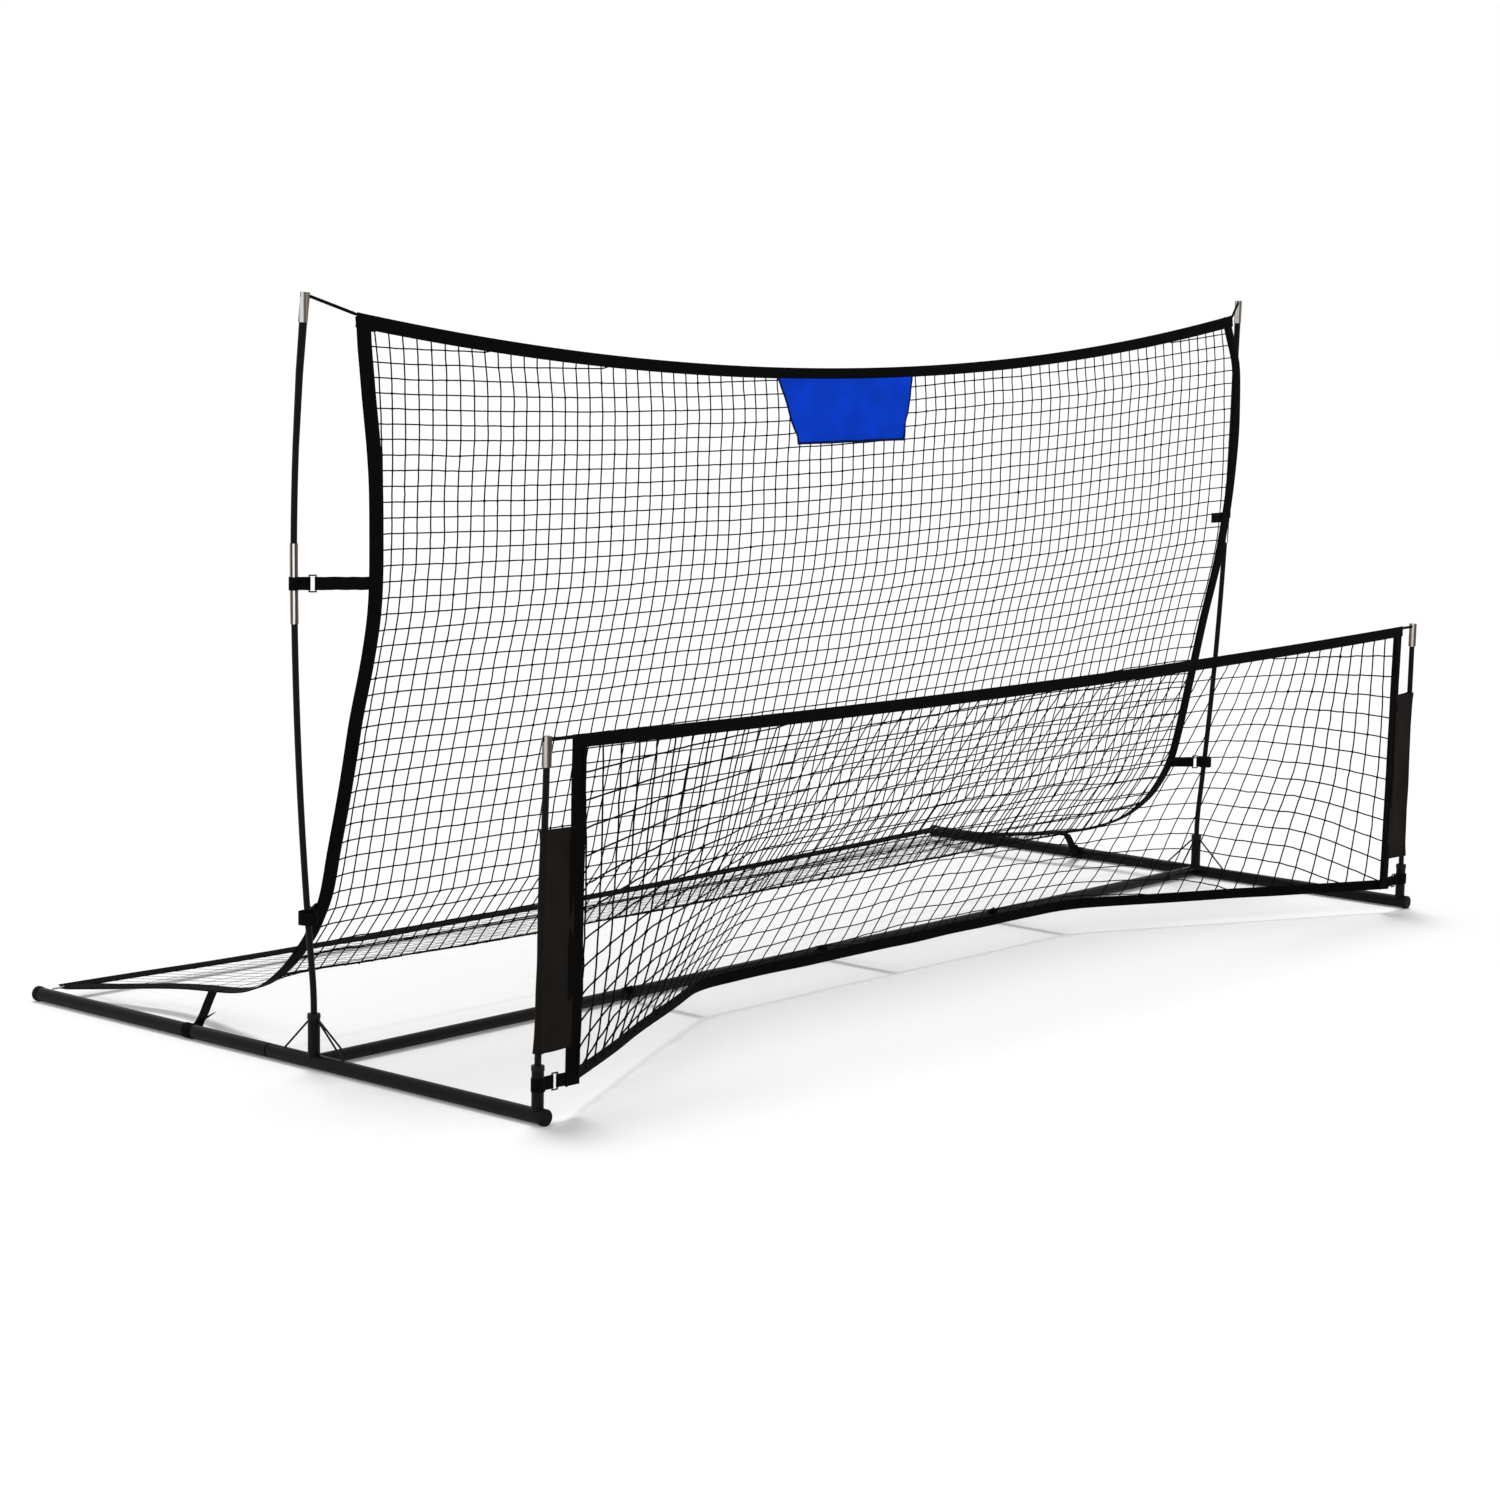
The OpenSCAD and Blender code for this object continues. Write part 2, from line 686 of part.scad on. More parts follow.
// Ground strap: round the side tube, up to the outer edge of the tall net's side band
strap_y = pole_y + ground_strap_behind;
ground_edge = edge(find_y(strap_y));
module ground_strap(s) color([0.05, 0.05, 0.05])
    on_side(s)
        translate([half_width, strap_y + webbing / 2, tube_z])
            rotate([90, 0, 0])
                linear_extrude(webbing)
                    mirror([1, 0])
                        tube_strap_outline(side_r,
                            [ground_edge[0] - 2.5, ground_edge[2] - tube_z - 5]);

// Straps between the cross tube and the front net's bottom band
module cross_straps() color([0.05, 0.05, 0.05])
    for (x = [-cross_strap_pitch, 0, cross_strap_pitch])
        translate([x - webbing / 2, pole_y, tube_z])
            rotate([90, 0, 90])
                linear_extrude(webbing)
                    mirror([1, 0])
                        tube_strap_outline(cross_r, [drawn_gap - band_thickness - 1.5,
                            bottom_band_height + bottom_band / 2 - tube_z]);

// Elastic cords from the tall net's rear corners to the side tubes
module rear_corner_cords() color([0.75, 0.77, 0.8])
    both_sides()
        difference() {
            translate([rear_half + gap, rear_y - rear_band / 2, rear_corner_height])
                rotate([0, 90, 0]) cylinder(h = rear_inset - gap, d = cord_od);
            at_side_tube(-half_depth) cylinder(h = frame_depth, r = side_r + gap);
        }

// ---------------------------------------------------------------- poles

// The straight and bowed stretches end inside the bend, which is swelled by its lacquer
module tall_pole_lower(s) color([0.08, 0.08, 0.09])
    on_side(s) {
        multmatrix(tall_foot_m) cylinder(h = bend_start + lap - pole_foot, d = pole_od);
        multmatrix(tall_kink_m) arc_tube(kink_heading, bend_radius, tall_bend, pole_od + bend_swell);
        multmatrix(tall_lower_m * shift([0, 0, -lap]))
            arc_tube(lower_heading, lower_bow_radius,
                     lower_angle + arc_angle(lap, lower_bow_radius), pole_od);
    }

// The upper section widens towards its tip in straight stretches that follow the bow
taper_steps = 2;
function upper_m(at) = tall_joint_m * bend(upper_heading, upper_bow_radius, arc_angle(at, upper_bow_radius));
module tall_pole_upper(s) color([0.08, 0.08, 0.09])
    on_side(s) {
        even = upper_pole_length - pole_taper;
        step = pole_taper / taper_steps;
        widen = (pole_tip_od - pole_od) / taper_steps;
        multmatrix(tall_joint_m)
            arc_tube(upper_heading, upper_bow_radius, arc_angle(even + lap, upper_bow_radius), pole_od);
        for (i = [0:taper_steps - 1])
            multmatrix(shift(place(upper_m(even + i * step)) - place(upper_m(even + (i + 0.5) * step)))
                       * upper_m(even + (i + 0.5) * step))
                cylinder(h = step + (i < taper_steps - 1 ? lap : 0),
                         d1 = pole_od + i * widen + bend_swell,
                         d2 = pole_od + (i + 1) * widen + bend_swell / 2);
    }

// Plated ferrule over the joint of the two sections, bowed with them
half_ferrule = mid_ferrule_length / 2;
module mid_ferrules() color([0.72, 0.7, 0.68])
    both_sides() {
        multmatrix(tall_joint_m)
            arc_tube(upper_heading, upper_bow_radius, arc_angle(half_ferrule, upper_bow_radius),
                     ferrule_od, pole_od + 4 * weld_gap);
        multmatrix(tall_joint_m)
            rotate([180, 0, 0])
                arc_tube(lower_heading, lower_bow_radius, arc_angle(half_ferrule, lower_bow_radius),
                         ferrule_od, pole_od + 4 * weld_gap);
    }

// Cap ferrule on a pole's tip, with a slot across its end that holds the corner cord.
// The local origin is the pole's end.
tip_over = 14;
module tip_ferrule(slot_heading, held_od) {
    translate([0, 0, tip_over - tip_ferrule_length])
        difference() {
            cylinder(h = tip_ferrule_length, d = tip_ferrule_od);
            translate([0, 0, -1])
                cylinder(h = tip_ferrule_length - tip_over + 1 + gap, d = held_od + 3 * gap);
            translate([0, 0, tip_ferrule_length])
                rotate([0, 0, slot_heading])
                    cube([2 * tip_ferrule_od, tip_slot, 2 * tip_slot_depth], center = true);
        }
}

// A corner cord leaves its slot on a slope, clear of the slot's floor, and ends at the band
function cord_slope(tip, corner) =
    (tip[2] + tip_over - tip_slot_depth + cord_od - corner[2]) / flat_reach(tip, corner);
function cord_seat(tip, corner) =
    tip_over - tip_slot_depth + cord_od / 2 + 2 * gap + tip_ferrule_od / 2 * cord_slope(tip, corner);
corner_in = 4.5;
top_corner = [top_half + gap + 1, net_top_y, top_z - corner_in];
top_heading = atan2(top_corner[1] - tall_tip[1], top_corner[0] - tall_tip[0]);
module tall_tip_ferrules() color([0.72, 0.7, 0.68])
    both_sides() multmatrix(tall_tip_m) tip_ferrule(top_heading, pole_tip_od);

module top_corner_cords() color([0.05, 0.05, 0.05])
    both_sides()
        between(place(tall_tip_m * shift([0, 0, cord_seat(tall_tip, top_corner)])), top_corner, cord_od);

// ---------------------------------------------------------------- bands

// A closed ribbon through sections of four corners each
module ribbon(sections) {
    n = len(sections);
    polyhedron(
        points = [for (s = sections) for (p = s) p],
        faces = [
            [0, 2, 1], [0, 3, 2],
            for (i = [0:n - 2]) for (c = [0:3])
                let (a = 4 * i + c, b = 4 * i + (c + 1) % 4)
                for (t = [[a, b, b + 4], [a, b + 4, a + 4]]) t,
            [4 * n - 4, 4 * n - 3, 4 * n - 2], [4 * n - 4, 4 * n - 2, 4 * n - 1]
        ]
    );
}

// Side band of the tall net, flat across the frame and curved down and back along the edge
band_steps = 3 * edge_steps;
module tall_side_band(s) color([0.05, 0.05, 0.05])
    on_side(s)
        ribbon([
            for (i = [0:band_steps])
                let (k = i / 3, p = edge(k), n = edge_normal(k) * band_thickness / 2,
                     outer = half_width - p[0], inner = outer - side_band,
                     y = i < band_steps ? 0 : rear_edge(inner) - rear_edge(outer),
                     z = i > 0 ? 0 : top_edge(inner) - top_edge(outer))
                [
                    [outer, p[1] - n[1], p[2] - n[2]], [outer, p[1] + n[1], p[2] + n[2]],
                    [inner, p[1] + n[1] + y, p[2] + n[2] + z],
                    [inner, p[1] - n[1] + y, p[2] - n[2] + z]
                ]
        ]);

// A band in one plane between two curves, drawn with n steps: lower(x) and upper(x)
module curved_band(half, lower, upper, n) {
    polygon([
        for (i = [0:n]) let (x = half * (2 * i / n - 1)) [x, lower(x)],
        for (i = [n:-1:0]) let (x = half * (2 * i / n - 1)) [x, upper(x)]
    ]);
}

module tall_top_band() color([0.05, 0.05, 0.05])
    translate([0, net_top_y + band_thickness / 2, 0])
        rotate([90, 0, 0])
            linear_extrude(band_thickness)
                curved_band(top_half, function (x) top_edge(x) - top_band, function (x) top_edge(x), 32);

module tall_rear_band() color([0.05, 0.05, 0.05])
    translate([0, 0, rear_corner_height - band_thickness / 2])
        linear_extrude(band_thickness)
            curved_band(rear_half, function (x) rear_edge(x) - rear_band, function (x) rear_edge(x), 24);

module front_top_band() color([0.05, 0.05, 0.05])
    translate([0, front_top_y + band_thickness / 2, 0])
        rotate([90, 0, 0])
            linear_extrude(band_thickness)
                curved_band(front_half_top, function (x) front_edge(x) - front_top_band,
                            function (x) front_edge(x), 16);

// Side band of the front net, from the top band to just above the bottom band's corner
module front_side_band(s) color([0.05, 0.05, 0.05]) {
    high = front_top_z - front_top_band - front_low_z - gap;
    on_side(s)
        translate([0, front_plane_y + band_thickness / 2, front_low_z])
            rotate([90 + front_lean, 0, 0])
                linear_extrude(band_thickness)
                    polygon([
                        [front_half_low, gap], [front_half_top, high],
                        [front_half_top - front_side_band, high - 1.5],
                        [front_half_low - front_side_band, gap]
                    ]);
}

// Bottom band of the front net: upright, and drawn back to a straight middle
module front_bottom_band() color([0.05, 0.05, 0.05]) {
    t = band_thickness;
    xs = [-band_corner_x, -drawn_half, drawn_half, band_corner_x];
    translate([0, 0, bottom_band_height])
        linear_extrude(bottom_band)
            polygon([
                for (x = xs) [x, drawn(x) - t / 2],
                for (i = [3:-1:0]) [xs[i], drawn(xs[i]) + t / 2]
            ]);
}

// ---------------------------------------------------------------- front poles and sleeves

module front_pole(s) color([0.08, 0.08, 0.09])
    on_side(s) {
        multmatrix(front_kink_m * shift([0, 0, pole_foot - bend_start]))
            cylinder(h = bend_start + lap - pole_foot, d = pole_od);
        multmatrix(front_kink_m) arc_tube(180, bend_radius, front_bend, pole_od + bend_swell);
        multmatrix(front_rise_m * shift([0, 0, -lap])) cylinder(h = front_pole_length + lap, d = pole_od);
    }

front_corner = [front_half_top + gap + 0.5, front_top_y, front_top_z - corner_in];
front_heading = atan2(front_corner[1] - front_tip[1], front_corner[0] - front_tip[0]);
module front_tip_ferrules() color([0.72, 0.7, 0.68])
    both_sides() multmatrix(front_tip_m) tip_ferrule(front_heading - front_lean_heading, pole_od);

module front_corner_cords() color([0.05, 0.05, 0.05])
    both_sides()
        between(place(front_tip_m * shift([0, 0, cord_seat(front_tip, front_corner)])), front_corner,
                cord_od);

// Fabric sleeve round a front pole, with its flap to the net's side band
function front_pole_x(z) =
    front_rise_m[0][3] - (z - front_rise_m[2][3]) * tan(front_bend) * cos(front_lean_heading);
sleeve_leaf_y = 5;
front_side_top_z = front_top_z - front_top_band;
function front_band_x(z) = front_half_low
    + (front_half_top - front_half_low) * (z - front_low_z) / (front_side_top_z - front_low_z);
module pole_sleeve(s) color([0.13, 0.11, 0.09])
    on_side(s) {
        foot_z = front_rise_m[2][3];
        bore = pole_od / 2 + gap;
        seam = sqrt(pow(bore, 2) - pow(sleeve_leaf_y - sleeve_wall / 2, 2)) + 0.2;
        multmatrix(front_rise_m)
            translate([0, 0, sleeve_low - foot_z])
                plain_tube(sleeve_high - sleeve_low, 2 * (bore + sleeve_wall), sleeve_wall);
        translate([0, front_rise_m[1][3] - sleeve_leaf_y + sleeve_wall / 2, foot_z])
            rotate([90 + front_lean, 0, 0])
                linear_extrude(sleeve_wall)
                    polygon([
                        [front_pole_x(sleeve_low) - seam, sleeve_low - foot_z],
                        [front_pole_x(sleeve_high) - seam, sleeve_high - foot_z],
                        [front_band_x(sleeve_high) + gap, sleeve_high - foot_z],
                        [front_band_x(sleeve_low) + gap, sleeve_low - foot_z]
                    ]);
    }

// ---------------------------------------------------------------- netting

// Square-section netting as one closed solid. at(i, j) gives a knot's middle, along(i, j) the
// direction of the strands that run with j. Knots run from i0 to i1 and j0 to j1. Where
// first_i or first_j is false, the first strand of that direction belongs to the neighbour.
module netting(at, along, i0, i1, j0, j1, first_i = true, first_j = true) {
    h = strand / 2;
    ni = i1 - i0 + 1;
    nj = j1 - j0 + 1;
    clear = 1.8 * strand;
    function centre(i, j) =
        let (p = at(i, j),
             pi = first_i || i > i0 ? [0, 0, 0] : unit(at(i + 1, j) - p) * clear,
             pj = first_j || j > j0 ? [0, 0, 0] : unit(at(i, j + 1) - p) * clear)
        p + pi + pj;
    function knot(i, j) =
        let (c = centre(i, j), v = along(i, j), u = [1, 0, 0], w = unit(cross(u, v)))
        [for (c3 = [[-1, -1, -1], [1, -1, -1], [1, 1, -1], [-1, 1, -1],
                    [-1, -1, 1], [1, -1, 1], [1, 1, 1], [-1, 1, 1]])
            c + h * (c3[0] * u + c3[1] * v + c3[2] * w)];
    function id(i, j, c) = 8 * ((i - i0) * nj + (j - j0)) + c;
    function quad(a, b, c, d) = [[a, b, c], [a, c, d]];
    function bar_i(i, j) = j > j0 || first_j;
    function bar_j(i, j) = i > i0 || first_i;
    // The bars from a knot to the next one across, and to the next one along
    function link_i(i, j) =
        let (a = [for (c = [0:7]) id(i, j, c)], b = [for (c = [0:7]) id(i + 1, j, c)])
        concat(quad(a[1], a[5], b[4], b[0]), quad(a[2], b[3], b[7], a[6]),
               quad(a[1], b[0], b[3], a[2]), quad(a[5], a[6], b[7], b[4]));
    function link_j(i, j) =
        let (a = [for (c = [0:7]) id(i, j, c)], b = [for (c = [0:7]) id(i, j + 1, c)])
        concat(quad(a[3], a[2], b[1], b[0]), quad(a[7], b[4], b[5], a[6]),
               quad(a[3], b[0], b[4], a[7]), quad(a[2], a[6], b[5], b[1]));
    function sides(i, j) =
        let (a = [for (c = [0:7]) id(i, j, c)])
        concat(
            quad(a[0], a[1], a[2], a[3]), quad(a[4], a[7], a[6], a[5]),
            i < i1 && bar_i(i, j) ? [] : quad(a[1], a[5], a[6], a[2]),
            i > i0 && bar_i(i, j) ? [] : quad(a[0], a[3], a[7], a[4]),
            j < j1 && bar_j(i, j) ? [] : quad(a[3], a[2], a[6], a[7]),
            j > j0 && bar_j(i, j) ? [] : quad(a[0], a[4], a[5], a[1]));
    polyhedron(
        points = [for (i = [i0:i1]) for (j = [j0:j1]) each knot(i, j)],
        faces = [
            for (i = [i0:i1]) for (j = [j0:j1]) each sides(i, j),
            for (i = [i0:i1 - 1]) for (j = [j0:j1]) if (bar_i(i, j)) each link_i(i, j),
            for (i = [i0:i1]) for (j = [j0:j1 - 1]) if (bar_j(i, j)) each link_j(i, j)
        ]
    );
}

// Knots of the tall net: i runs across and j down the edge
tall_rows = 12;
// Between the side bands the netting runs tauter than they do, so its middle lies higher
ramp_lift = 30;
lift_from = 0.45;
net_clear = gap + strand / 2;
end_clear = net_clear + 0.4;
ramp_clear = 4;
function tall_k(j) = (edge_steps - 0.001) * j / tall_rows;
// Inset of the side band's edge, which is drawn in straight steps
function band_inset(k) =
    let (i = min(floor(3 * k), band_steps - 1), s = 3 * k - i)
    (1 - s) * edge(i / 3)[0] + s * edge((i + 1) / 3)[0];
function tall_inset(j) = band_inset(tall_k(j));
// How far the band's inner edge stands in past the straight strand between rows j and j + 1
function tall_bulge(j) =
    j < 0 || j >= tall_rows ? 0
    : max([for (s = [0:0.0625:1])
        band_inset((1 - s) * tall_k(j) + s * tall_k(j + 1))
        - (1 - s) * tall_inset(j) - s * tall_inset(j + 1)]);
// Half the tall netting's width at each row, from strand to strand
tall_halves = [for (j = [0:tall_rows])
    half_width - tall_inset(j) - max(tall_bulge(j - 1), tall_bulge(j)) - side_band - net_clear
        - (j > 7 ? ramp_clear : 0)];
function tall_knot(i, j) =
    let (k = tall_k(j), t = k / edge_steps, e = edge(k), a = edge_along(k),
         u = 2 * i / tall_columns - 1, x = u * tall_halves[j],
         inset = j == 0 ? end_clear : j == tall_rows ? -end_clear : 0,
         low = max(0, (t - 0.6) / 0.4), lifted = max(0, (t - lift_from) / (1 - lift_from)))
    [
        x,
        e[1] + a[1] * inset + (rear_edge(x) - rear_y) * pow(low, 2),
        e[2] + a[2] * inset + (top_edge(x) - top_z) * pow(1 - t, 2)
            + ramp_lift * (1 - pow(u, 4)) * sin(180 * lifted)
    ];
function tall_along(i, j) = edge_along(tall_k(j));
module tall_net() color([0.08, 0.08, 0.08]) {
    netting(function (i, j) tall_knot(i, j), function (i, j) tall_along(i, j), 0, tall_columns, 0, 3);
    for (rows = [[3, 6], [6, 8], [8, tall_rows]])
        netting(function (i, j) tall_knot(i, j), function (i, j) tall_along(i, j),
                0, tall_columns, rows[0], rows[1], first_j = false);
}

// Fabric flap below the middle of the top band. It hangs in front of the netting, and its
// profile follows the netting's middle strand.
flap_clear = 1.6 * strand;
flap_line = [for (j = [0:2]) tall_knot(tall_columns / 2, j)];
module flap() color([0.06, 0.27, 0.88]) {
    hang = top_edge(0) - top_band - gap;
    translate([-flap_offset, 0, 0]) intersection() {
        translate([-flap_top, 0, 0])
            rotate([90, 0, 90])
                linear_extrude(2 * flap_top)
                    polygon([
                        [net_top_y - flap_clear / 2, hang],
                        for (p = flap_line) [p[1] - flap_clear, p[2] - end_clear - gap],
                        for (i = [2:-1:0]) let (p = flap_line[i])
                            [p[1] - flap_clear - flap_sheet, p[2] - end_clear - gap],
                        [net_top_y - flap_clear / 2 - flap_sheet, hang]
                    ]);
        translate([0, frame_depth, 0])
            rotate([90, 0, 0])
                linear_extrude(2 * frame_depth)
                    polygon([
                        [-flap_bottom / 2, hang - flap_height], [flap_bottom / 2, hang - flap_height],
                        [flap_top / 2, hang], [-flap_top / 2, hang]
                    ]);
    }
}

// Knots of the front net: i runs across and j from the top band down to the bottom band
front_rows = 4;
middle_columns = 12;
outer_columns = 7;
front_columns = middle_columns + 2 * outer_columns;
front_belly = 40;
function front_x(i, half) =
    let (m = i - front_columns / 2, a = abs(m), inner = middle_columns / 2)
    sign(m) * (a <= inner ? drawn_half * a / inner
        : drawn_half + (half - drawn_half) * (a - inner) / outer_columns);
function front_knot(i, j) =
    let (t = j / front_rows,
         half = (front_half_top * (1 - t) + front_half_low * t) - front_side_band - net_clear,
         x = front_x(i, half), m = 1 - pow(x / half, 2),
         top = front_edge(x) - front_top_band - end_clear - gap,
         low = front_low_z + end_clear + gap)
    [x, front_top_y * (1 - t) + drawn(x) * t + front_belly * m * sin(180 * t) / 2,
     top * (1 - t) + low * t];
function front_along(i, j) =
    let (a = front_knot(i, max(j - 0.5, 0)), b = front_knot(i, min(j + 0.5, front_rows)), v = b - a)
    unit([0, v[1], v[2]]);
module front_net() color([0.08, 0.08, 0.08]) {
    cuts = [0, 4, outer_columns, front_columns - outer_columns, front_columns - 4, front_columns];
    for (c = [0:4])
        netting(function (i, j) front_knot(i, j), function (i, j) front_along(i, j),
                cuts[c], cuts[c + 1], 0, front_rows, first_i = c == 0);
}

// ---------------------------------------------------------------- the assembly

side_tube_front(-1);  // side_tube_front_left
side_tube_front(1);  // side_tube_front_right
side_tube_rear(-1);  // side_tube_rear_left
side_tube_rear(1);  // side_tube_rear_right
cross_stubs();
cross_tube_outer(-1);  // cross_tube_left
cross_tube_middle();
cross_tube_outer(1);  // cross_tube_right
tall_socket(-1);  // tall_socket_left
tall_socket(1);  // tall_socket_right
front_socket(-1);  // front_socket_left
front_socket(1);  // front_socket_right
brace_rods(-1);  // brace_rods_left
brace_rods(1);  // brace_rods_right
end_caps();
tall_bushes();
front_bushes();
clip_springs();
side_button(-1);  // side_button_left
side_button(1);  // side_button_right
outer_button(-1);  // outer_button_left
outer_button(1);  // outer_button_right
inner_button(-1);  // inner_button_left
inner_button(1);  // inner_button_right
ground_strap(-1);  // ground_strap_left
ground_strap(1);  // ground_strap_right
rear_corner_cords();
cross_straps();
front_corner_straps();
front_corner_rings();
tall_pole_lower(-1);  // tall_pole_lower_left
tall_pole_lower(1);  // tall_pole_lower_right
tall_pole_upper(-1);  // tall_pole_upper_left
tall_pole_upper(1);  // tall_pole_upper_right
mid_ferrules();
tall_tip_ferrules();
top_corner_cords();
mid_straps();
mid_strap_rings();
lower_straps();
lower_strap_rings();
tall_net();
tall_top_band();
tall_side_band(-1);  // tall_side_band_left
tall_side_band(1);  // tall_side_band_right
tall_rear_band();
flap();
front_pole(-1);  // front_pole_left
front_pole(1);  // front_pole_right
front_tip_ferrules();
front_corner_cords();
pole_sleeve(-1);  // pole_sleeve_left
pole_sleeve(1);  // pole_sleeve_right
front_net();
front_top_band();
front_side_band(-1);  // front_side_band_left
front_side_band(1);  // front_side_band_right
front_bottom_band();
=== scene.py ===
"""A two-sided football rebounder: tube base, tall bowed net with a ramp, and a low net.

Shapes are computed in millimetres in the CAD frame. Build.object() turns them into metres.
"""
import math

import bpy
import numpy as np
from mathutils import Matrix, Vector


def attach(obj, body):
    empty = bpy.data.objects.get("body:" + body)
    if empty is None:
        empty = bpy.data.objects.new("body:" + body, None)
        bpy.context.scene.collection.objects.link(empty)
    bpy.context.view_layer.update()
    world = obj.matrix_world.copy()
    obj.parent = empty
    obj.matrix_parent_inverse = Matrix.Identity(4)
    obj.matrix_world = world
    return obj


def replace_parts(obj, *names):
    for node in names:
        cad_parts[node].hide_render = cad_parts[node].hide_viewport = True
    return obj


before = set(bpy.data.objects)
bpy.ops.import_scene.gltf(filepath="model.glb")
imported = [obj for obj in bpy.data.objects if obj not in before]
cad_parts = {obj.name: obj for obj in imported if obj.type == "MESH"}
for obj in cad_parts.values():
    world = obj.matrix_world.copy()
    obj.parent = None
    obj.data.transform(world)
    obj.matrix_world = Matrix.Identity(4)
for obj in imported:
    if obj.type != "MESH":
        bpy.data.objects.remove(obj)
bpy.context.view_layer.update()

seeded = np.random.default_rng
rng = seeded(11)
scene = bpy.context.scene
MM = 0.001
SIDES = ((1, "right"), (-1, "left"))

# ---- camera

# Fitted to the photo: place in metres, angles in degrees, focal length in the photo's pixels
CAM = (-5.779, -4.923, 1.535)
HEADING, PITCH, ROLL = (math.radians(a) for a in (48.99, 8.03, 0.96))
FOCAL_PX, PHOTO_PX, SENSOR = 3368, 1500, 36


def make_camera():
    fwd = Vector((math.sin(HEADING) * math.cos(PITCH), math.cos(HEADING) * math.cos(PITCH),
                  -math.sin(PITCH)))
    flat = Vector((math.cos(HEADING), -math.sin(HEADING), 0))
    above = flat.cross(fwd)
    right = flat * math.cos(ROLL) + above * math.sin(ROLL)
    up = above * math.cos(ROLL) - flat * math.sin(ROLL)
    data = bpy.data.cameras.new("camera")
    data.sensor_width = SENSOR
    data.lens = FOCAL_PX / PHOTO_PX * SENSOR
    data.clip_end = 200
    obj = bpy.data.objects.new("camera", data)
    m = Matrix((right, up, -fwd)).transposed().to_4x4()
    m.translation = Vector(CAM)
    obj.matrix_world = m
    scene.collection.objects.link(obj)
    scene.camera = obj


make_camera()

# ---- materials


class Nodes:
    """A small wrapper round a node tree."""

    def __init__(self, tree):
        self.nodes, self.links = tree.nodes, tree.links

    def put(self, socket, value):
        """Links a node's output to the socket, or sets the socket to a value."""
        if isinstance(value, bpy.types.NodeSocket):
            self.links.new(value, socket)
        else:
            socket.default_value = value

    def node(self, kind, out, **inputs):
        """Adds a node, fills the inputs that are named and returns one of its outputs."""
        n = self.nodes.new(kind)
        for key, value in inputs.items():
            self.put(n.inputs[key.replace("_", " ")], value)
        return n.outputs[out]

    def math(self, op, *values):
        n = self.nodes.new("ShaderNodeMath")
        n.operation = op
        for socket, value in zip(n.inputs, values):
            self.put(socket, value)
        return n.outputs[0]

    def seen(self):
        """1 for what the camera sees, directly, in a reflection or through glass."""
        path = self.nodes.new("ShaderNodeLightPath").outputs
        mirrored = self.math("MAXIMUM", path["Is Glossy Ray"], path["Is Transmission Ray"])
        return self.math("MAXIMUM", path["Is Camera Ray"], mirrored)


class Shader(Nodes):
    """A material with its Principled BSDF."""

    def __init__(self, name, color, rough, metallic=0.0, specular=0.5):
        self.mat = bpy.data.materials.new(name)
        self.mat.use_nodes = True
        self.mat.diffuse_color = (*color, 1)
        super().__init__(self.mat.node_tree)
        self.bsdf = self.nodes["Principled BSDF"]
        self.set("Base Color", (*color, 1))
        self.set("Roughness", rough)
        self.set("Metallic", metallic)
        self.set("Specular IOR Level", specular)

    def set(self, socket, value):
        self.put(self.bsdf.inputs[socket], value)

    def add(self, a, b):
        return self.math("ADD", a, b)

    def less(self, a, b):
        return self.math("SUBTRACT", a, b)

    def times(self, a, b):
        return self.math("MULTIPLY", a, b)

    def axes(self, vector):
        n = self.nodes.new("ShaderNodeSeparateXYZ")
        self.put(n.inputs[0], vector)
        return n.outputs

    def uv(self):
        return self.axes(self.node("ShaderNodeUVMap", 0))

    def coords(self):
        return self.node("ShaderNodeTexCoord", "Object")

    def noise(self, scale, detail=3.0, rough=0.5, stretch=None):
        vector = self.coords()
        if stretch is not None:
            vector = self.node("ShaderNodeMapping", 0, Vector=vector, Scale=stretch)
        return self.node("ShaderNodeTexNoise", "Fac", Vector=vector, Scale=scale, Detail=detail,
                         Roughness=rough)

    def ramp(self, fac, stops):
        n = self.nodes.new("ShaderNodeValToRGB")
        e = n.color_ramp.elements
        while len(e) < len(stops):
            e.new(0.5)
        for el, (pos, color) in zip(e, stops):
            el.position = pos
            el.color = (*color, 1)
        self.put(n.inputs["Fac"], fac)
        return n.outputs["Color"]

    def spread(self, fac, low, high, out_low, out_high):
        return self.node("ShaderNodeMapRange", "Result", Value=fac, From_Min=low, From_Max=high,
                         To_Min=out_low, To_Max=out_high)

    def mix(self, fac, a, b):
        n = self.nodes.new("ShaderNodeMix")
        n.data_type = "RGBA"
        self.put(n.inputs["Factor"], fac)
        for i, color in ((6, a), (7, b)):
            self.put(n.inputs[i], (*color, 1) if isinstance(color, tuple) else color)
        return n.outputs[2]

    def color(self, out):
        self.set("Base Color", out)

    def rough(self, fac, low, high, out_low, out_high):
        self.set("Roughness", self.spread(fac, low, high, out_low, out_high))

    def bump(self, height, strength, distance):
        self.set("Normal", self.node("ShaderNodeBump", "Normal", Strength=strength,
                                     Distance=distance, Height=height))


def shade(color, k):
    return tuple(c * k for c in color)


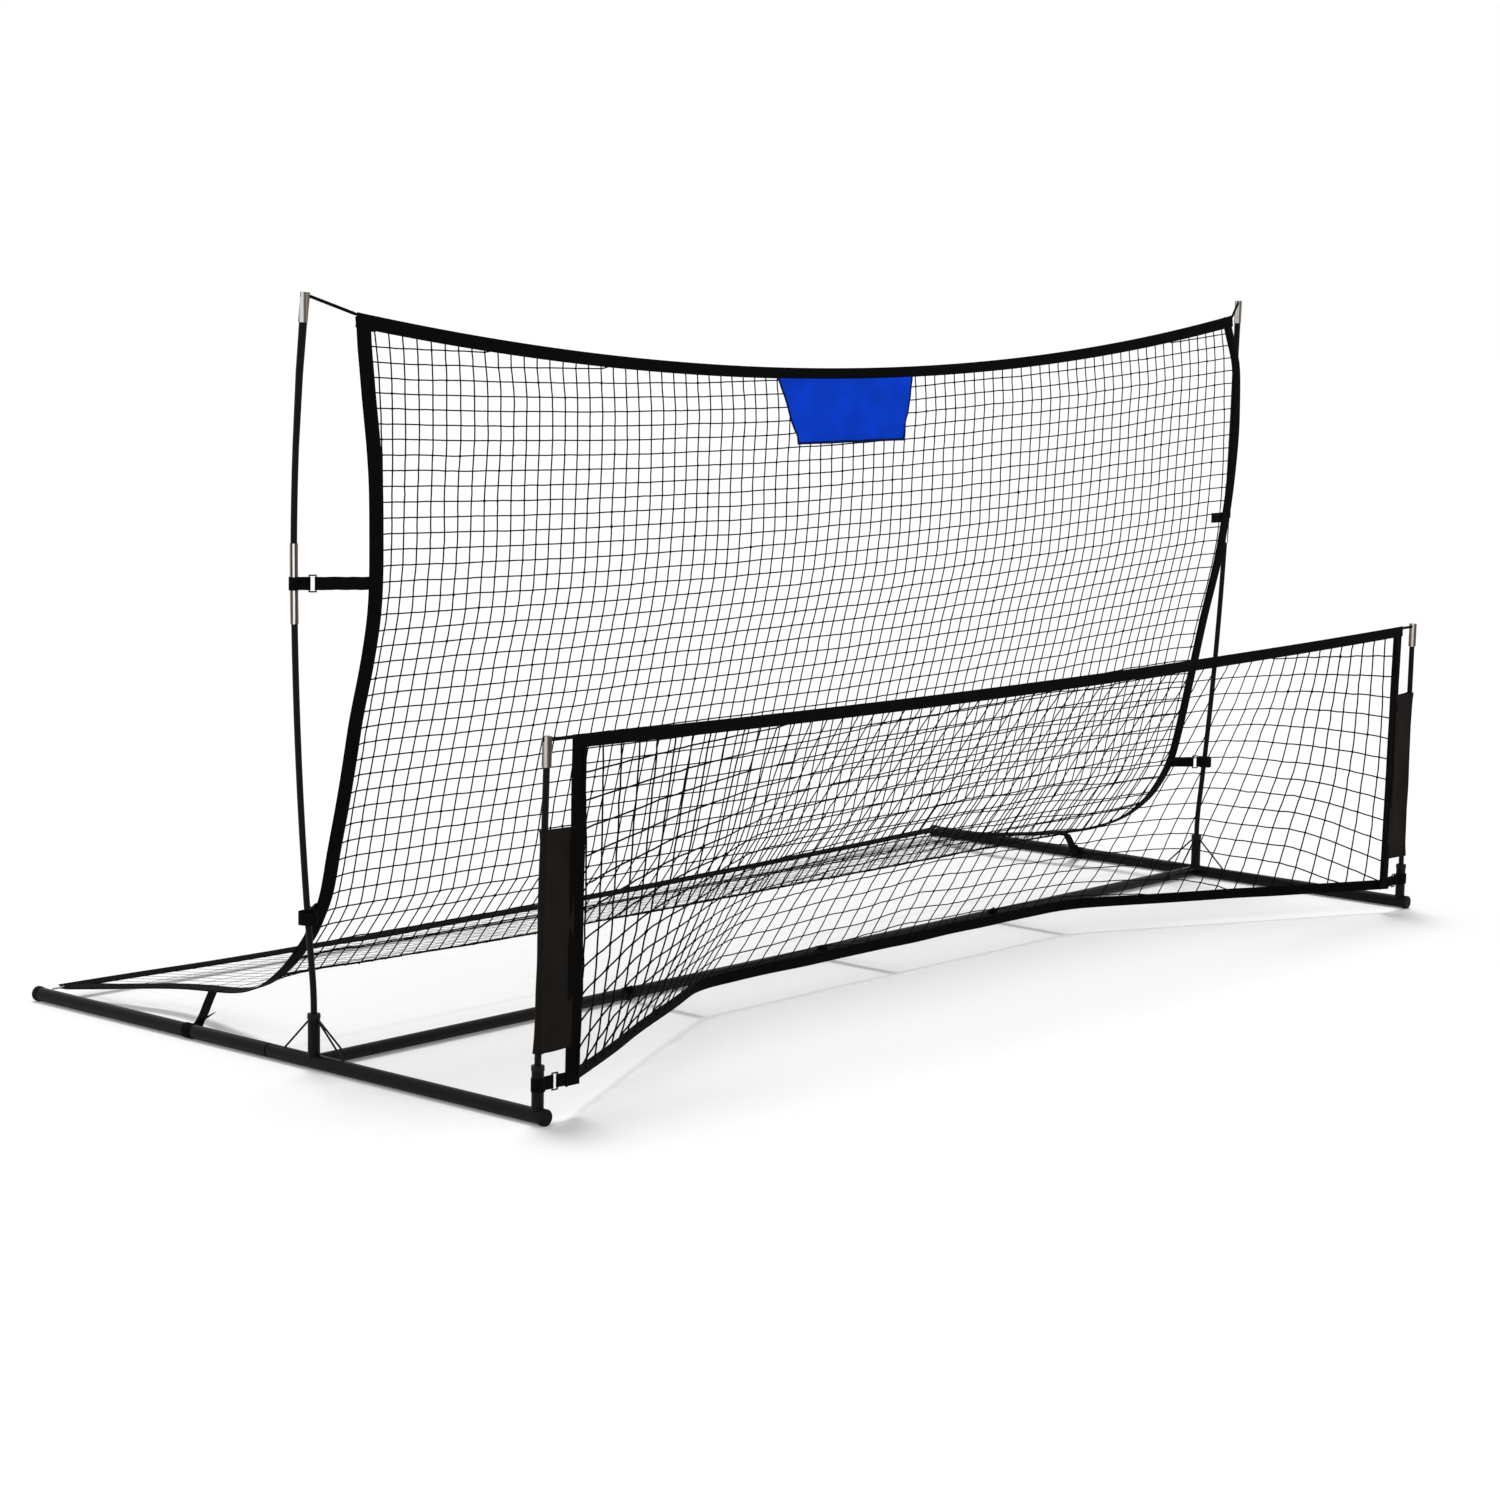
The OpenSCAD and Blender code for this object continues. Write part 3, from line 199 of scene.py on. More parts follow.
def powder_coat(name, color, rough):
    """Satin powder coat: fine orange peel, rubbed patches and a few light scuffs."""
    s = Shader(name, color, rough, specular=0.1)
    cloud = s.noise(9, 4)
    scuff = s.noise(55, 5, 0.7, stretch=(1, 1, 6))
    s.color(s.mix(s.spread(scuff, 0.68, 0.8, 0, 1),
                  s.ramp(cloud, [(0.3, shade(color, 0.8)), (0.7, shade(color, 1.25))]),
                  (0.012, 0.012, 0.0125)))
    s.rough(cloud, 0.3, 0.7, rough - 0.05, rough + 0.07)
    s.bump(s.noise(900, 2), 0.12, 0.0002)
    return s.mat


def rubber(name):
    s = Shader(name, (0.004, 0.004, 0.004), 0.62, specular=0.1)
    dust = s.noise(40, 5, 0.65)
    s.color(s.ramp(dust, [(0.35, (0.003, 0.003, 0.003)), (0.75, (0.008, 0.0078, 0.0075))]))
    s.rough(dust, 0.3, 0.8, 0.55, 0.75)
    s.bump(s.noise(700, 3), 0.25, 0.0003)
    return s.mat


def plastic(name):
    s = Shader(name, (0.004, 0.004, 0.0042), 0.42, specular=0.14)
    s.rough(s.noise(60, 3), 0.3, 0.7, 0.36, 0.5)
    s.bump(s.noise(1400, 2), 0.18, 0.0002)
    return s.mat


def plated(name, color, rough):
    """Plated metal with turning marks, small stains and hazy patches."""
    s = Shader(name, color, rough, metallic=1.0)
    haze = s.noise(70, 4, 0.6)
    spots = s.noise(420, 3, 0.7)
    s.color(s.mix(s.spread(spots, 0.62, 0.75, 0, 0.35),
                  s.ramp(haze, [(0.3, shade(color, 0.82)), (0.7, color)]), (0.36, 0.3, 0.24)))
    s.rough(haze, 0.3, 0.75, rough * 0.8, rough * 1.5)
    s.bump(s.noise(60, 2, stretch=(1, 1, 30)), 0.05, 0.0002)
    return s.mat


# (STREAK_X, -STREAK_Y) is the camera's right direction in plan: the painted reflection bands are
# laid across the view
STREAK_X, STREAK_Y = 0.656, 0.755


def nickel_painted_reflections(name, axis, period, radius, stops):
    """Nickel with painted reflections: bright and dark bands of painted reflection run along the
    ferrules.

    Metres along (STREAK_X, -STREAK_Y): axis and period give both sides' ferrules the same streaks.
    """
    rough = 0.2
    s = Shader(name, (0.3, 0.27, 0.24), rough, metallic=1.0)
    x, y, _ = s.axes(s.coords())
    along = s.less(s.times(x, STREAK_X), s.times(y, STREAK_Y))
    wander = s.times(s.less(s.noise(30, 2), 0.5), 0.0018)
    # the half puts a ferrule's axis in the middle of its period, the 80 keeps the sum positive
    turns = s.add(s.math("DIVIDE", s.less(s.add(along, wander), axis), period), 80.5)
    off = s.times(s.less(s.math("FRACT", turns), 0.5), period)
    # the stops paint the reflection: light and dark bands that stand in for reflected studio light
    # and shade
    base = s.ramp(s.spread(off, -radius, radius, 0, 1), stops)
    fine = s.noise(420, 3, 0.7, stretch=(1, 1, 0.1))
    s.color(s.mix(s.spread(fine, 0.55, 0.8, 0, 0.3), base, (0.12, 0.1, 0.085)))
    s.rough(fine, 0.3, 0.75, rough * 0.8, rough * 1.5)
    return s.mat


def spring_steel(name, color):
    s = Shader(name, color, 0.34, metallic=1.0)
    s.rough(s.noise(300, 3, stretch=(1, 1, 12)), 0.3, 0.7, 0.26, 0.44)
    s.bump(s.noise(800, 2), 0.06, 0.0001)
    return s.mat


STITCH = 0.0035


def woven(name, color, pitch, rows=(), sheen=0.0, ribs=False, specular=0.03):
    """Webbing or band fabric. UV is metres along and across, rows are stitch lines in mm."""
    s = Shader(name, color, 0.82, specular=specular)
    s.set("Sheen Weight", sheen)
    s.set("Sheen Roughness", 0.45)
    s.set("Sheen Tint", (0.55, 0.55, 0.57, 1))
    u, v, _ = s.uv()
    k = 2 * math.pi / (pitch * MM)
    lift = s.spread(s.times(s.math("SINE", s.times(u, k)),
                            s.math("SINE", s.times(v, k * (0.55 if ribs else 1)))), -1, 1, 0, 1)
    fuzz = s.noise(900, 4, 0.7)
    light = tuple(min(1, c * 1.5 + 0.001) for c in color)
    cloud = s.ramp(s.noise(14, 3), [(0.3, shade(color, 0.6)), (0.7, color)])
    base = s.mix(s.times(lift, 0.6), cloud, light)
    height = s.add(s.times(lift, 0.7), s.times(fuzz, 0.3))
    for row in rows:
        near = s.math("ABSOLUTE", s.less(s.math("ABSOLUTE", v), row * MM))
        line = s.spread(near, 0.0003, 0.0009, 1, 0)
        dash = s.spread(s.math("SINE", s.times(u, 2 * math.pi / STITCH)), -0.5, 0.1, 0, 1)
        stitch = s.times(line, dash)
        base = s.mix(s.times(stitch, 0.8), base, light)
        height = s.add(s.less(height, s.times(line, 0.5)), s.times(stitch, 0.9))
    s.color(base)
    s.rough(fuzz, 0.3, 0.7, 0.72, 0.92)
    s.bump(height, 0.5, 0.0005)
    return s.mat


def twine(name, color, pitch=4.0):
    """Twisted twine: ridges that wind round the strand. UV is metres along and turns round."""
    s = Shader(name, color, 0.75, specular=0.04)
    u, v, _ = s.uv()
    turn = s.add(s.times(u, 2 * math.pi / (pitch * MM)), s.times(v, 4 * math.pi))
    lay = s.spread(s.math("SINE", turn), -1, 1, 0, 1)
    fuzz = s.noise(1200, 3, 0.7)
    s.color(s.mix(s.times(lay, 0.7), shade(color, 0.5), shade(color, 1.5)))
    s.rough(fuzz, 0.3, 0.7, 0.62, 0.88)
    s.bump(s.add(s.times(lay, 0.8), s.times(fuzz, 0.2)), 0.5, 0.0004)
    return s.mat


BLACK = (0.0026, 0.0026, 0.0028)
TWINE_BLACK = (0.0034, 0.0034, 0.0036)
M = {
    "tube": powder_coat("powder_coat_black", BLACK, 0.36),
    "pole": powder_coat("pole_lacquer_black", (0.0022, 0.0022, 0.0024), 0.4),
    "rubber": rubber("cap_rubber_black"),
    "bush": plastic("bush_plastic_black"),
    # The ferrules' stops are painted reflections: bright and dark bands in place of reflected light
    # and shade
    "mid_nickel": nickel_painted_reflections("mid_ferrule_nickel", -0.9387, 0.040035, 0.008, [
        (0.0, (0.2, 0.165, 0.13)), (0.18, (0.3, 0.26, 0.21)), (0.26, (0.03, 0.024, 0.02)),
        (0.4, (0.03, 0.024, 0.02)), (0.46, (0.86, 0.85, 0.83)), (0.64, (0.86, 0.85, 0.83)),
        (0.7, (0.035, 0.026, 0.02)), (0.84, (0.05, 0.036, 0.028)), (0.95, (0.2, 0.145, 0.11))]),
    "tip_nickel": nickel_painted_reflections("tall_tip_nickel", -0.9186, 0.04138, 0.009, [
        (0.0, (0.06, 0.055, 0.05)), (0.12, (0.4, 0.39, 0.38)), (0.24, (0.7, 0.69, 0.68)),
        (0.52, (0.62, 0.6, 0.58)), (0.6, (0.16, 0.125, 0.1)), (0.76, (0.1, 0.08, 0.066)),
        (0.88, (0.26, 0.23, 0.2)), (1.0, (0.12, 0.1, 0.085))]),
    "front_nickel": nickel_painted_reflections("front_tip_nickel", -0.4401, 0.03978, 0.009, [
        (0.0, (0.05, 0.042, 0.036)), (0.16, (0.14, 0.11, 0.09)), (0.34, (0.6, 0.56, 0.53)),
        (0.5, (0.5, 0.46, 0.43)), (0.62, (0.09, 0.07, 0.056)), (1.0, (0.05, 0.04, 0.034))]),
    "ring": plated("ring_black_wire", (0.022, 0.022, 0.023), 0.35),
    "spring": spring_steel("clip_steel", (0.42, 0.42, 0.43)),
    "button": spring_steel("button_black_steel", (0.03, 0.03, 0.032)),
    "webbing": woven("webbing_black", (0.0035, 0.0035, 0.0037), 1.9, rows=(10.2,), ribs=True),
    "side_band": woven("side_band_black", BLACK, 1.6, rows=(15.2, 13.0)),
    "front_band": woven("front_side_band_black", BLACK, 1.6, rows=(16.2, 14.0)),
    "band": woven("band_black", BLACK, 1.6, rows=(9.3,)),
    "sleeve": woven("sleeve_brown_black", (0.0105, 0.008, 0.0062), 1.3, sheen=0.03, specular=0.06),
    "flap": woven("flap_blue", (0.003, 0.062, 0.86), 1.2, specular=0.04),
    "hem": woven("flap_hem_navy", (0.005, 0.012, 0.08), 1.4, rows=(2.8,)),
    "net": twine("net_twine_black", TWINE_BLACK),
    "cord": twine("cord_black", TWINE_BLACK, 5.0),
    "elastic": twine("elastic_pale", (0.52, 0.57, 0.66), 3.0),
    "weld": powder_coat("weld_bead_black", BLACK, 0.4),
}

NODE_MATERIAL = {
    "end_caps": "rubber", "tall_bushes": "bush", "front_bushes": "bush", "clip_springs": "spring",
    "mid_ferrules": "mid_nickel", "tall_tip_ferrules": "tip_nickel",
    "front_tip_ferrules": "front_nickel",
}


def node_material(name):
    if name in NODE_MATERIAL:
        return M[NODE_MATERIAL[name]]
    for part, key in (("button", "button"), ("rings", "ring"), ("pole_", "pole")):
        if part in name and "sleeve" not in name:
            return M[key]
    return M["tube"]


for node_name, node_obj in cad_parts.items():
    node_obj.data.materials.clear()
    node_obj.data.materials.append(node_material(node_name))

# ---- mesh helpers

# The ring of points round a ribbon: (across, through) in halves of its width and in thicknesses
RIBBON_RING = ((-1, -0.22), (-1, 0.22), (-1, 0.5), (-0.45, 0.5), (0, 0.5), (0.45, 0.5), (1, 0.5),
               (1, 0.22), (1, -0.22), (1, -0.5), (0.45, -0.5), (0, -0.5), (-0.45, -0.5), (-1, -0.5))
RIBBON_END = ((0, 1, 2, 13), (2, 3, 12, 13), (3, 4, 11, 12), (4, 5, 10, 11), (5, 6, 9, 10),
              (6, 7, 8, 9))


class Build:
    """Gathers several pieces of surface and turns them into one object."""

    def __init__(self):
        self.points, self.faces, self.tris, self.uvs, self.count = [], [], [], [], 0

    def add(self, points, quads, uv):
        """points (n, 3) in mm, quads (m, 4) indices, uv (m, 4, 2) in metres."""
        self.points.append(points)
        self.faces.append(quads + self.count)
        self.uvs.append(uv)
        self.count += len(points)

    def tube(self, line, radius, sides, ref, closed=False, caps=False):
        """A round strand along a line, of one radius or one for each point."""
        tangent, s = frame_along(line, closed)
        a = unit(np.cross(tangent, ref))
        b = np.cross(tangent, a)
        ang = np.linspace(0, 2 * math.pi, sides, endpoint=False)
        r = np.full(len(line), radius)[:, None, None]
        cos, sin = np.cos(ang)[:, None], np.sin(ang)[:, None]
        pts = line[:, None] + r * (cos * a[:, None] + sin * b[:, None])
        fan = [(0, q, q + 1, q + 2) for q in range(1, sides - 2, 2)] if caps else ()
        self.grid(pts, s, np.append(ang / (2 * math.pi), 1.0), closed, fan)

    def grid(self, pts, s, across, closed=False, end=()):
        """Joins n rings of m points, (n, m, 3), round each ring and along.

        s is the length in mm at each ring. across is the second UV value at the ring's m points
        and at its first point again. end holds the quads that close the first and the last ring.
        """
        n, m = pts.shape[:2]
        I, J = np.meshgrid(np.arange(n if closed else n - 1), np.arange(m), indexing="ij")
        I2, J2 = (I + 1) % n, (J + 1) % m
        quads = np.stack([I * m + J, I2 * m + J, I2 * m + J2, I * m + J2], -1)
        along = np.append(s, s[-1] + (s[-1] - s[-2] if closed else 0)) * MM
        across = np.broadcast_to(across, (n, m + 1))
        uv = np.stack([np.stack(pair, -1) for pair in (
            (along[I], across[I, J]), (along[I + 1], across[I2, J]),
            (along[I + 1], across[I2, J + 1]), (along[I], across[I, J + 1]))], 2)
        self.add(pts.reshape(-1, 3), quads.reshape(-1, 4), uv.reshape(-1, 4, 2))
        for row, turn in ((0, 1), (n - 1, -1)):
            for quad in end:
                self.faces.append(np.array([quad[::turn]]) + self.count + (row - n) * m)
                self.uvs.append(np.zeros((1, 4, 2)))

    def ribbon(self, line, across, width, thick, wave=0.0, seed=0):
        """A flat band along a line: across is its width's direction at each point."""
        n = len(line)
        tangent, s = frame_along(line, False)
        across = np.asarray(across)
        across = unit(across - tangent * (across * tangent).sum(1, keepdims=True))
        normal = np.cross(tangent, across)
        w = np.full(n, width)
        pts = np.zeros((n, len(RIBBON_RING), 3))
        flat = np.zeros((n, len(RIBBON_RING) + 1))
        ripple = smooth_noise(seeded(seed), n, 9) * wave
        for j, (a, b) in enumerate(RIBBON_RING):
            inset = thick * 0.4 if abs(b) == 0.5 and abs(a) == 1 else 0
            off = a * w / 2 - np.sign(a) * inset
            curl = ripple * (a * a - 0.3)
            pts[:, j] = line + across * off[:, None] + normal * (b * thick + curl)[:, None]
            flat[:, j] = off * MM
        flat[:, -1] = flat[:, 0]
        self.grid(pts, s, flat, end=RIBBON_END)

    def balls(self, centres, radius, squash):
        """Small knots: one low ball at each centre, each turned and sized a little differently."""
        t = (1 + 5 ** 0.5) / 2
        v = unit(np.array([(-1, t, 0), (1, t, 0), (-1, -t, 0), (1, -t, 0), (0, -1, t), (0, 1, t),
                           (0, -1, -t), (0, 1, -t), (t, 0, -1), (t, 0, 1), (-t, 0, -1),
                           (-t, 0, 1)], float))
        f = np.array([(0, 11, 5), (0, 5, 1), (0, 1, 7), (0, 7, 10), (0, 10, 11), (1, 5, 9),
                      (5, 11, 4), (11, 10, 2), (10, 7, 6), (7, 1, 8), (3, 9, 4), (3, 4, 2),
                      (3, 2, 6), (3, 6, 8), (3, 8, 9), (4, 9, 5), (2, 4, 11), (6, 2, 10),
                      (8, 6, 7), (9, 8, 1)])
        k = len(centres)
        size = radius * (1 + 0.18 * rng.standard_normal(k)).clip(0.7, 1.4)
        stretch = 1 + squash * rng.standard_normal((k, 3)).clip(-1.5, 1.5)
        pts = centres[:, None] + v[None] * (size[:, None] * stretch)[:, None]
        ids = (np.arange(k) * len(v))[:, None, None] + f[None] + self.count
        self.tris.append(ids.reshape(-1, 3))
        self.points.append(pts.reshape(-1, 3))
        self.count += k * len(v)

    def object(self, name, material, body):
        pts = np.concatenate(self.points) * MM
        quads = np.concatenate(self.faces)
        tris = np.concatenate(self.tris) if self.tris else np.zeros((0, 3), int)
        mesh = bpy.data.meshes.new(name)
        mesh.vertices.add(len(pts))
        mesh.vertices.foreach_set("co", pts.astype(np.float32).ravel())
        loops = np.concatenate([quads.ravel(), tris.ravel()])
        mesh.loops.add(len(loops))
        mesh.loops.foreach_set("vertex_index", loops.astype(np.int32))
        total = np.repeat([4, 3], [len(quads), len(tris)]).astype(np.int32)
        start = (np.cumsum(total) - total).astype(np.int32)
        mesh.polygons.add(len(total))
        mesh.polygons.foreach_set("loop_start", start)
        mesh.polygons.foreach_set("loop_total", total)
        mesh.polygons.foreach_set("use_smooth", np.full(len(total), True))
        uv = np.concatenate([u.reshape(-1, 2) for u in self.uvs] + [np.zeros((len(tris) * 3, 2))])
        mesh.uv_layers.new(name="UVMap").data.foreach_set("uv", uv.astype(np.float32).ravel())
        mesh.update(calc_edges=True)
        mesh.validate()
        obj = bpy.data.objects.new(name, mesh)
        scene.collection.objects.link(obj)
        mesh.materials.append(M[material])
        mesh.set_sharp_from_angle(angle=math.radians(50))
        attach(obj, body)
        return obj


def unit(v):
    return v / np.maximum(np.linalg.norm(v, axis=-1, keepdims=True), 1e-12)


def lengths(line):
    """The length along a line up to each of its points."""
    return np.concatenate([[0], np.cumsum(np.linalg.norm(np.diff(line, axis=0), axis=1))])


def at(t, s, line):
    """The points of a line at t, where s says which t each of its own points has."""
    return np.stack([np.interp(t, s, column) for column in line.T], -1)


def frame_along(line, closed):
    """The direction of a line and the length along it, at each of its points."""
    ahead = np.roll(line, -1, 0) - np.roll(line, 1, 0) if closed else np.gradient(line, axis=0)
    return unit(ahead), lengths(line)


def smooth_noise(g, n, width):
    raw = g.standard_normal(n + 4 * width)
    k = np.hanning(2 * width + 1)
    k /= np.sqrt((k * k).sum())
    return np.convolve(raw, k, "same")[2 * width: 2 * width + n]


def smooth_grid(g, shape, passes):
    a = g.standard_normal(shape)
    for _ in range(passes):
        p = np.pad(a, 1, mode="edge")
        a = (p[:-2, 1:-1] + p[2:, 1:-1] + p[1:-1, :-2] + p[1:-1, 2:] + 2 * p[1:-1, 1:-1]) / 6
    return a / a.std()


def resample(line, step):
    line = np.asarray(line, float)
    s = lengths(line)
    return at(np.linspace(0, s[-1], max(2, int(round(s[-1] / step)) + 1)), s, line)


def runs(mask):
    """The unbroken runs of true values, as lists of their places."""
    ids = np.nonzero(mask)[0]
    return np.split(ids, np.nonzero(np.diff(ids) > 1)[0] + 1) if len(ids) else []


def curve(points, per):
    """A Catmull-Rom curve through points."""
    p = np.asarray(points, float)
    p = np.vstack([2 * p[0] - p[1], p, 2 * p[-1] - p[-2]])
    out = []
    for i in range(1, len(p) - 2):
        for s in np.linspace(0, 1, per, endpoint=False):
            a, b, c, d = p[i - 1: i + 3]
            out.append(0.5 * (2 * b + (c - a) * s + (2 * a - 5 * b + 4 * c - d) * s ** 2
                              + (3 * b - a - 3 * c + d) * s ** 3))
    out.append(p[-2])
    return np.array(out)


def sided(points, side):
    """Points of the right side, mirrored for the left one."""
    return points if side > 0 else points * (-1, 1, 1)


# ---- the tall net's shape

# In mm. Names that start with the same word belong to the same piece.
HALF = 1524.0
POLE_Y, FRONT_Y = -119.0, -726.0
TUBE_Z, SIDE_TUBE_R, CROSS_TUBE_R = 15.7, 14.3, 12.7
TOP_Z, TOP_SAG, TOP_BAND = 1453.94, 118.0, 27.0
TOP_HALF = HALF - 39
REAR_Y, REAR_HALF, REAR_Z, REAR_BOW = 733.0, HALF - 41, 27.0, 40.0
NET_TOP_Y = -197.0
SIDE_BAND, SEWN = 36.0, 7
REAR_SEAM_Y, DEPTH = REAR_Y - 25.3, REAR_Y - POLE_Y
# The outer edge of the net from its top corner to its rear one: (inset from HALF, y, z)
EDGE = np.array([
    (39, NET_TOP_Y, TOP_Z - TOP_BAND - 0.3), (30, -219.5, 0.905 * TOP_Z),
    (41, -229.3, 0.77 * TOP_Z), (54, -211, 0.61 * TOP_Z), (52, -161, 0.46 * TOP_Z),
    (49, -106, 0.295 * TOP_Z), (47, -69, 0.205 * TOP_Z),
    (44, POLE_Y + 0.132 * DEPTH, 0.141 * TOP_Z), (48, POLE_Y + 0.238 * DEPTH, 132),
    (79, POLE_Y + 0.385 * DEPTH, 90),
    (114, POLE_Y + 0.655 * DEPTH, 58), (41, REAR_SEAM_Y, REAR_Z)], float)
EDGE_LINE = curve(EDGE, 40)
EDGE_K = np.linspace(0, len(EDGE) - 1, len(EDGE_LINE))
EDGE_S = lengths(EDGE_LINE)


def edge(k):
    """(inset, y, z) of the net's outer edge at k."""
    return at(k, EDGE_K, EDGE_LINE)


def top_edge(x):
    return TOP_Z - TOP_SAG * (1 - (x / TOP_HALF) ** 2)


def rear_edge(x):
    return REAR_Y - REAR_BOW * (1 - (x / REAR_HALF) ** 2)


FLAP_MID, FLAP_TOP, FLAP_LOW, FLAP_HEIGHT = -46.0, 232.0, 180.0, 134.0
MESH, MESH_SHIFT = 36.4, 15.4
RAMP_TOP = 224.0
# Between its side bands the netting hangs a little behind them: (height, depth)
HANG = np.array([
    (225, 8), (243, -5), (262, -22), (285, -37), (305, -43), (373, -60), (455, -79), (540, -100),
    (620, -119), (697, -139), (750, -151), (813, -168), (850, -177), (890, -186), (970, -195),
    (1045, -199), (1120, -201), (1200, -203.5), (1290, -205.5), (1420, -206)], float)
# Its lowest part slants to a fold and then runs rearwards as the ramp: (0, y, z), and the
# lengths along that line at which it has rows
RAMP = resample([(0, 8, 225), (0, 25, 206), (0, 59, 166), (0, 80, 143), (0, 100, 134),
                 (0, 209, 112), (0, 439, 65), (0, REAR_SEAM_Y, REAR_Z - 1)], 2)[:, 1:]
RAMP_ROWS = (20, 52, 57, 108, 116, 186, 257, 328, 399, 470, 541, 612)
RAMP_S = lengths(RAMP)


def flap_y(z):
    """How far forward the flap hangs at height z."""
    return -200.4 - (1316.0 - z) * 0.13


def upright_row(x, middle):
    """A row of the upright netting that has the height middle at the net's middle."""
    slope = np.interp(middle, [450, 607, 896, 1288], [0.001, 0.0057, 0.0144, 0.0257])
    bow = np.interp(middle, [225, 607, 896, 1288], [5.0, 11.3, 16.7, 25.2]) * 1e-6
    z = middle + slope * x + bow * x * x
    y = np.interp(z, HANG[:, 0], HANG[:, 1])
    below = np.clip((top_edge(x) - TOP_BAND - z) / 80, 0, 1)
    return NET_TOP_Y + (y - NET_TOP_Y) * below, z


def reach(k):
    """Half of the netting's width at k: it is sewn in under the side bands."""
    return HALF - edge(k)[..., 0] - SIDE_BAND + SEWN


def net_rows():
    """The rows of knots from the top to the rear band, each with one point for each strand."""
    strands = np.arange(-40, 40) * MESH + MESH_SHIFT
    # the outermost two strands follow the side bands: the clip to reach() brings them there
    strands = np.r_[-2000, strands, 2000]
    heights = [1288 + 28.7 * 5]
    while heights[-1] > RAMP_TOP:
        heights.append(heights[-1] - np.interp(heights[-1], [225, 400, 700, 1000, 1290],
                                               [34.3, 33.5, 32.4, 30.5, 28.7]))
    lines = []
    for middle in heights[:-1]:
        x = np.clip(strands, -HALF, HALF)
        for _ in range(3):
            y, z = upright_row(x, middle)
            k = np.interp(-z, -EDGE_LINE[:, 2], EDGE_K)
            x = np.clip(strands, -reach(k), reach(k))
        y, z = upright_row(x, middle)
        w = (np.abs(x) / reach(k)) ** 40
        y = y + (edge(k)[:, 1] - y) * w
        lines.append(np.stack([x, y, z], 1))
    start = EDGE_S[np.argmin(np.abs(EDGE_LINE[:, 2] - 231))]
    for s in RAMP_ROWS:
        v = s / RAMP_S[-1]
        k = np.interp(start + v * (EDGE_S[-1] - start), EDGE_S, EDGE_K)
        x = np.clip(strands, -reach(k), reach(k))
        w = (np.abs(x) / reach(k)) ** np.interp(v, [0, 0.4], [40, 5])
        y = np.interp(s, RAMP_S, RAMP[:, 0]) * (1 - w) + edge(k)[1] * w
        z = np.interp(s, RAMP_S, RAMP[:, 1]) * (1 - w) + edge(k)[2] * w
        sag = np.interp(x, [-1450, -900, 400], [0, 12, 18])
        z = z - sag * np.interp(s, [0, 60, 110, 560], [0, 0.7, 1, 0]) * (1 - w)
        y = y + (rear_edge(x) - REAR_Y) * v ** 3
        lines.append(np.stack([x, y, z], 1))
    return np.stack(lines, 1)


STRAND_SIDES = 5
TALL_WANDER, FRONT_WANDER = 0.3, 0.7
KNOT_R, KNOTS_END_Y = 2.4, 90


def tall_net():
    P = net_rows()
    cols = P.shape[0] - 1
    shape = P.shape[:2]
    g = seeded(5)
    free = 1 - (np.abs(P[..., 0]) / P[..., 0].max()) ** 30
    P[..., 0] += free * (0.45 * smooth_grid(g, shape, 1) + 1.0 * smooth_grid(g, shape, 8))
    P[..., 2] += free * (0.35 * smooth_grid(g, shape, 1) + 0.7 * smooth_grid(g, shape, 8))
    P[..., 1] += free * 0.9 * smooth_grid(g, shape, 10)
    shown = P[..., 2] < top_edge(P[..., 0]) - TOP_BAND - 1
    b = Build()
    knots = []
    for points, seen in zip(P, shown):
        line = points[np.argmax(seen):]
        knots.append(line)
        x = line[0, 0] + (line[0, 0] - line[1, 0]) * 0.3
        line = np.vstack([(x, NET_TOP_Y, top_edge(x) - TOP_BAND + 6), line,
                          (line[-1, 0], rear_edge(line[-1, 0]) - 20, REAR_Z - 1)])
        b.tube(wavy(line, g, TALL_WANDER), strand_radius(line), STRAND_SIDES, (1, 0, 0))
    for j in range(shape[1]):
        for run in runs(shown[:, j]):
            line = P[run, j]
            # a row that meets the top band goes on under it
            for side, near in ((0, 1), (-1, -2)):
                if 0 < run[side] < cols and len(line) > 1:
                    more = line[side] + (line[side] - line[near]) * 0.6
                    more[2] = max(more[2], top_edge(more[0]) - TOP_BAND + 3)
                    more[1] = NET_TOP_Y
                    line = np.insert(line, 0 if side == 0 else len(line), more, 0)
            if len(line) > 1:
                b.tube(wavy(line, g, TALL_WANDER), strand_radius(line), STRAND_SIDES, (0, 0.35, 1))
    knots = np.concatenate(knots)
    b.balls(knots[knots[:, 1] < KNOTS_END_Y], KNOT_R, 0.18)
    obj = b.object("tall_netting", "net", "tall_frame")
    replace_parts(obj, "tall_net")


def strand_radius(line):
    """Strands of the flat ramp are drawn tight and thin. One value for each point of wavy()."""
    r = np.interp(line[:, 1], [-40, 85, 112, 600], [1.5, 1.4, 0.4, 0.4])
    return between(r, (r[1:] + r[:-1]) / 2)


def between(values, mids):
    out = np.empty((2 * len(values) - 1,) + values.shape[1:])
    out[0::2], out[1::2] = values, mids
    return out


def wavy(line, g, size):
    """Adds a point between each pair of knots and lets the strand wander there."""
    wander = g.standard_normal((len(line) - 1, 3)) * size
    return between(line, (line[1:] + line[:-1]) / 2 + wander)


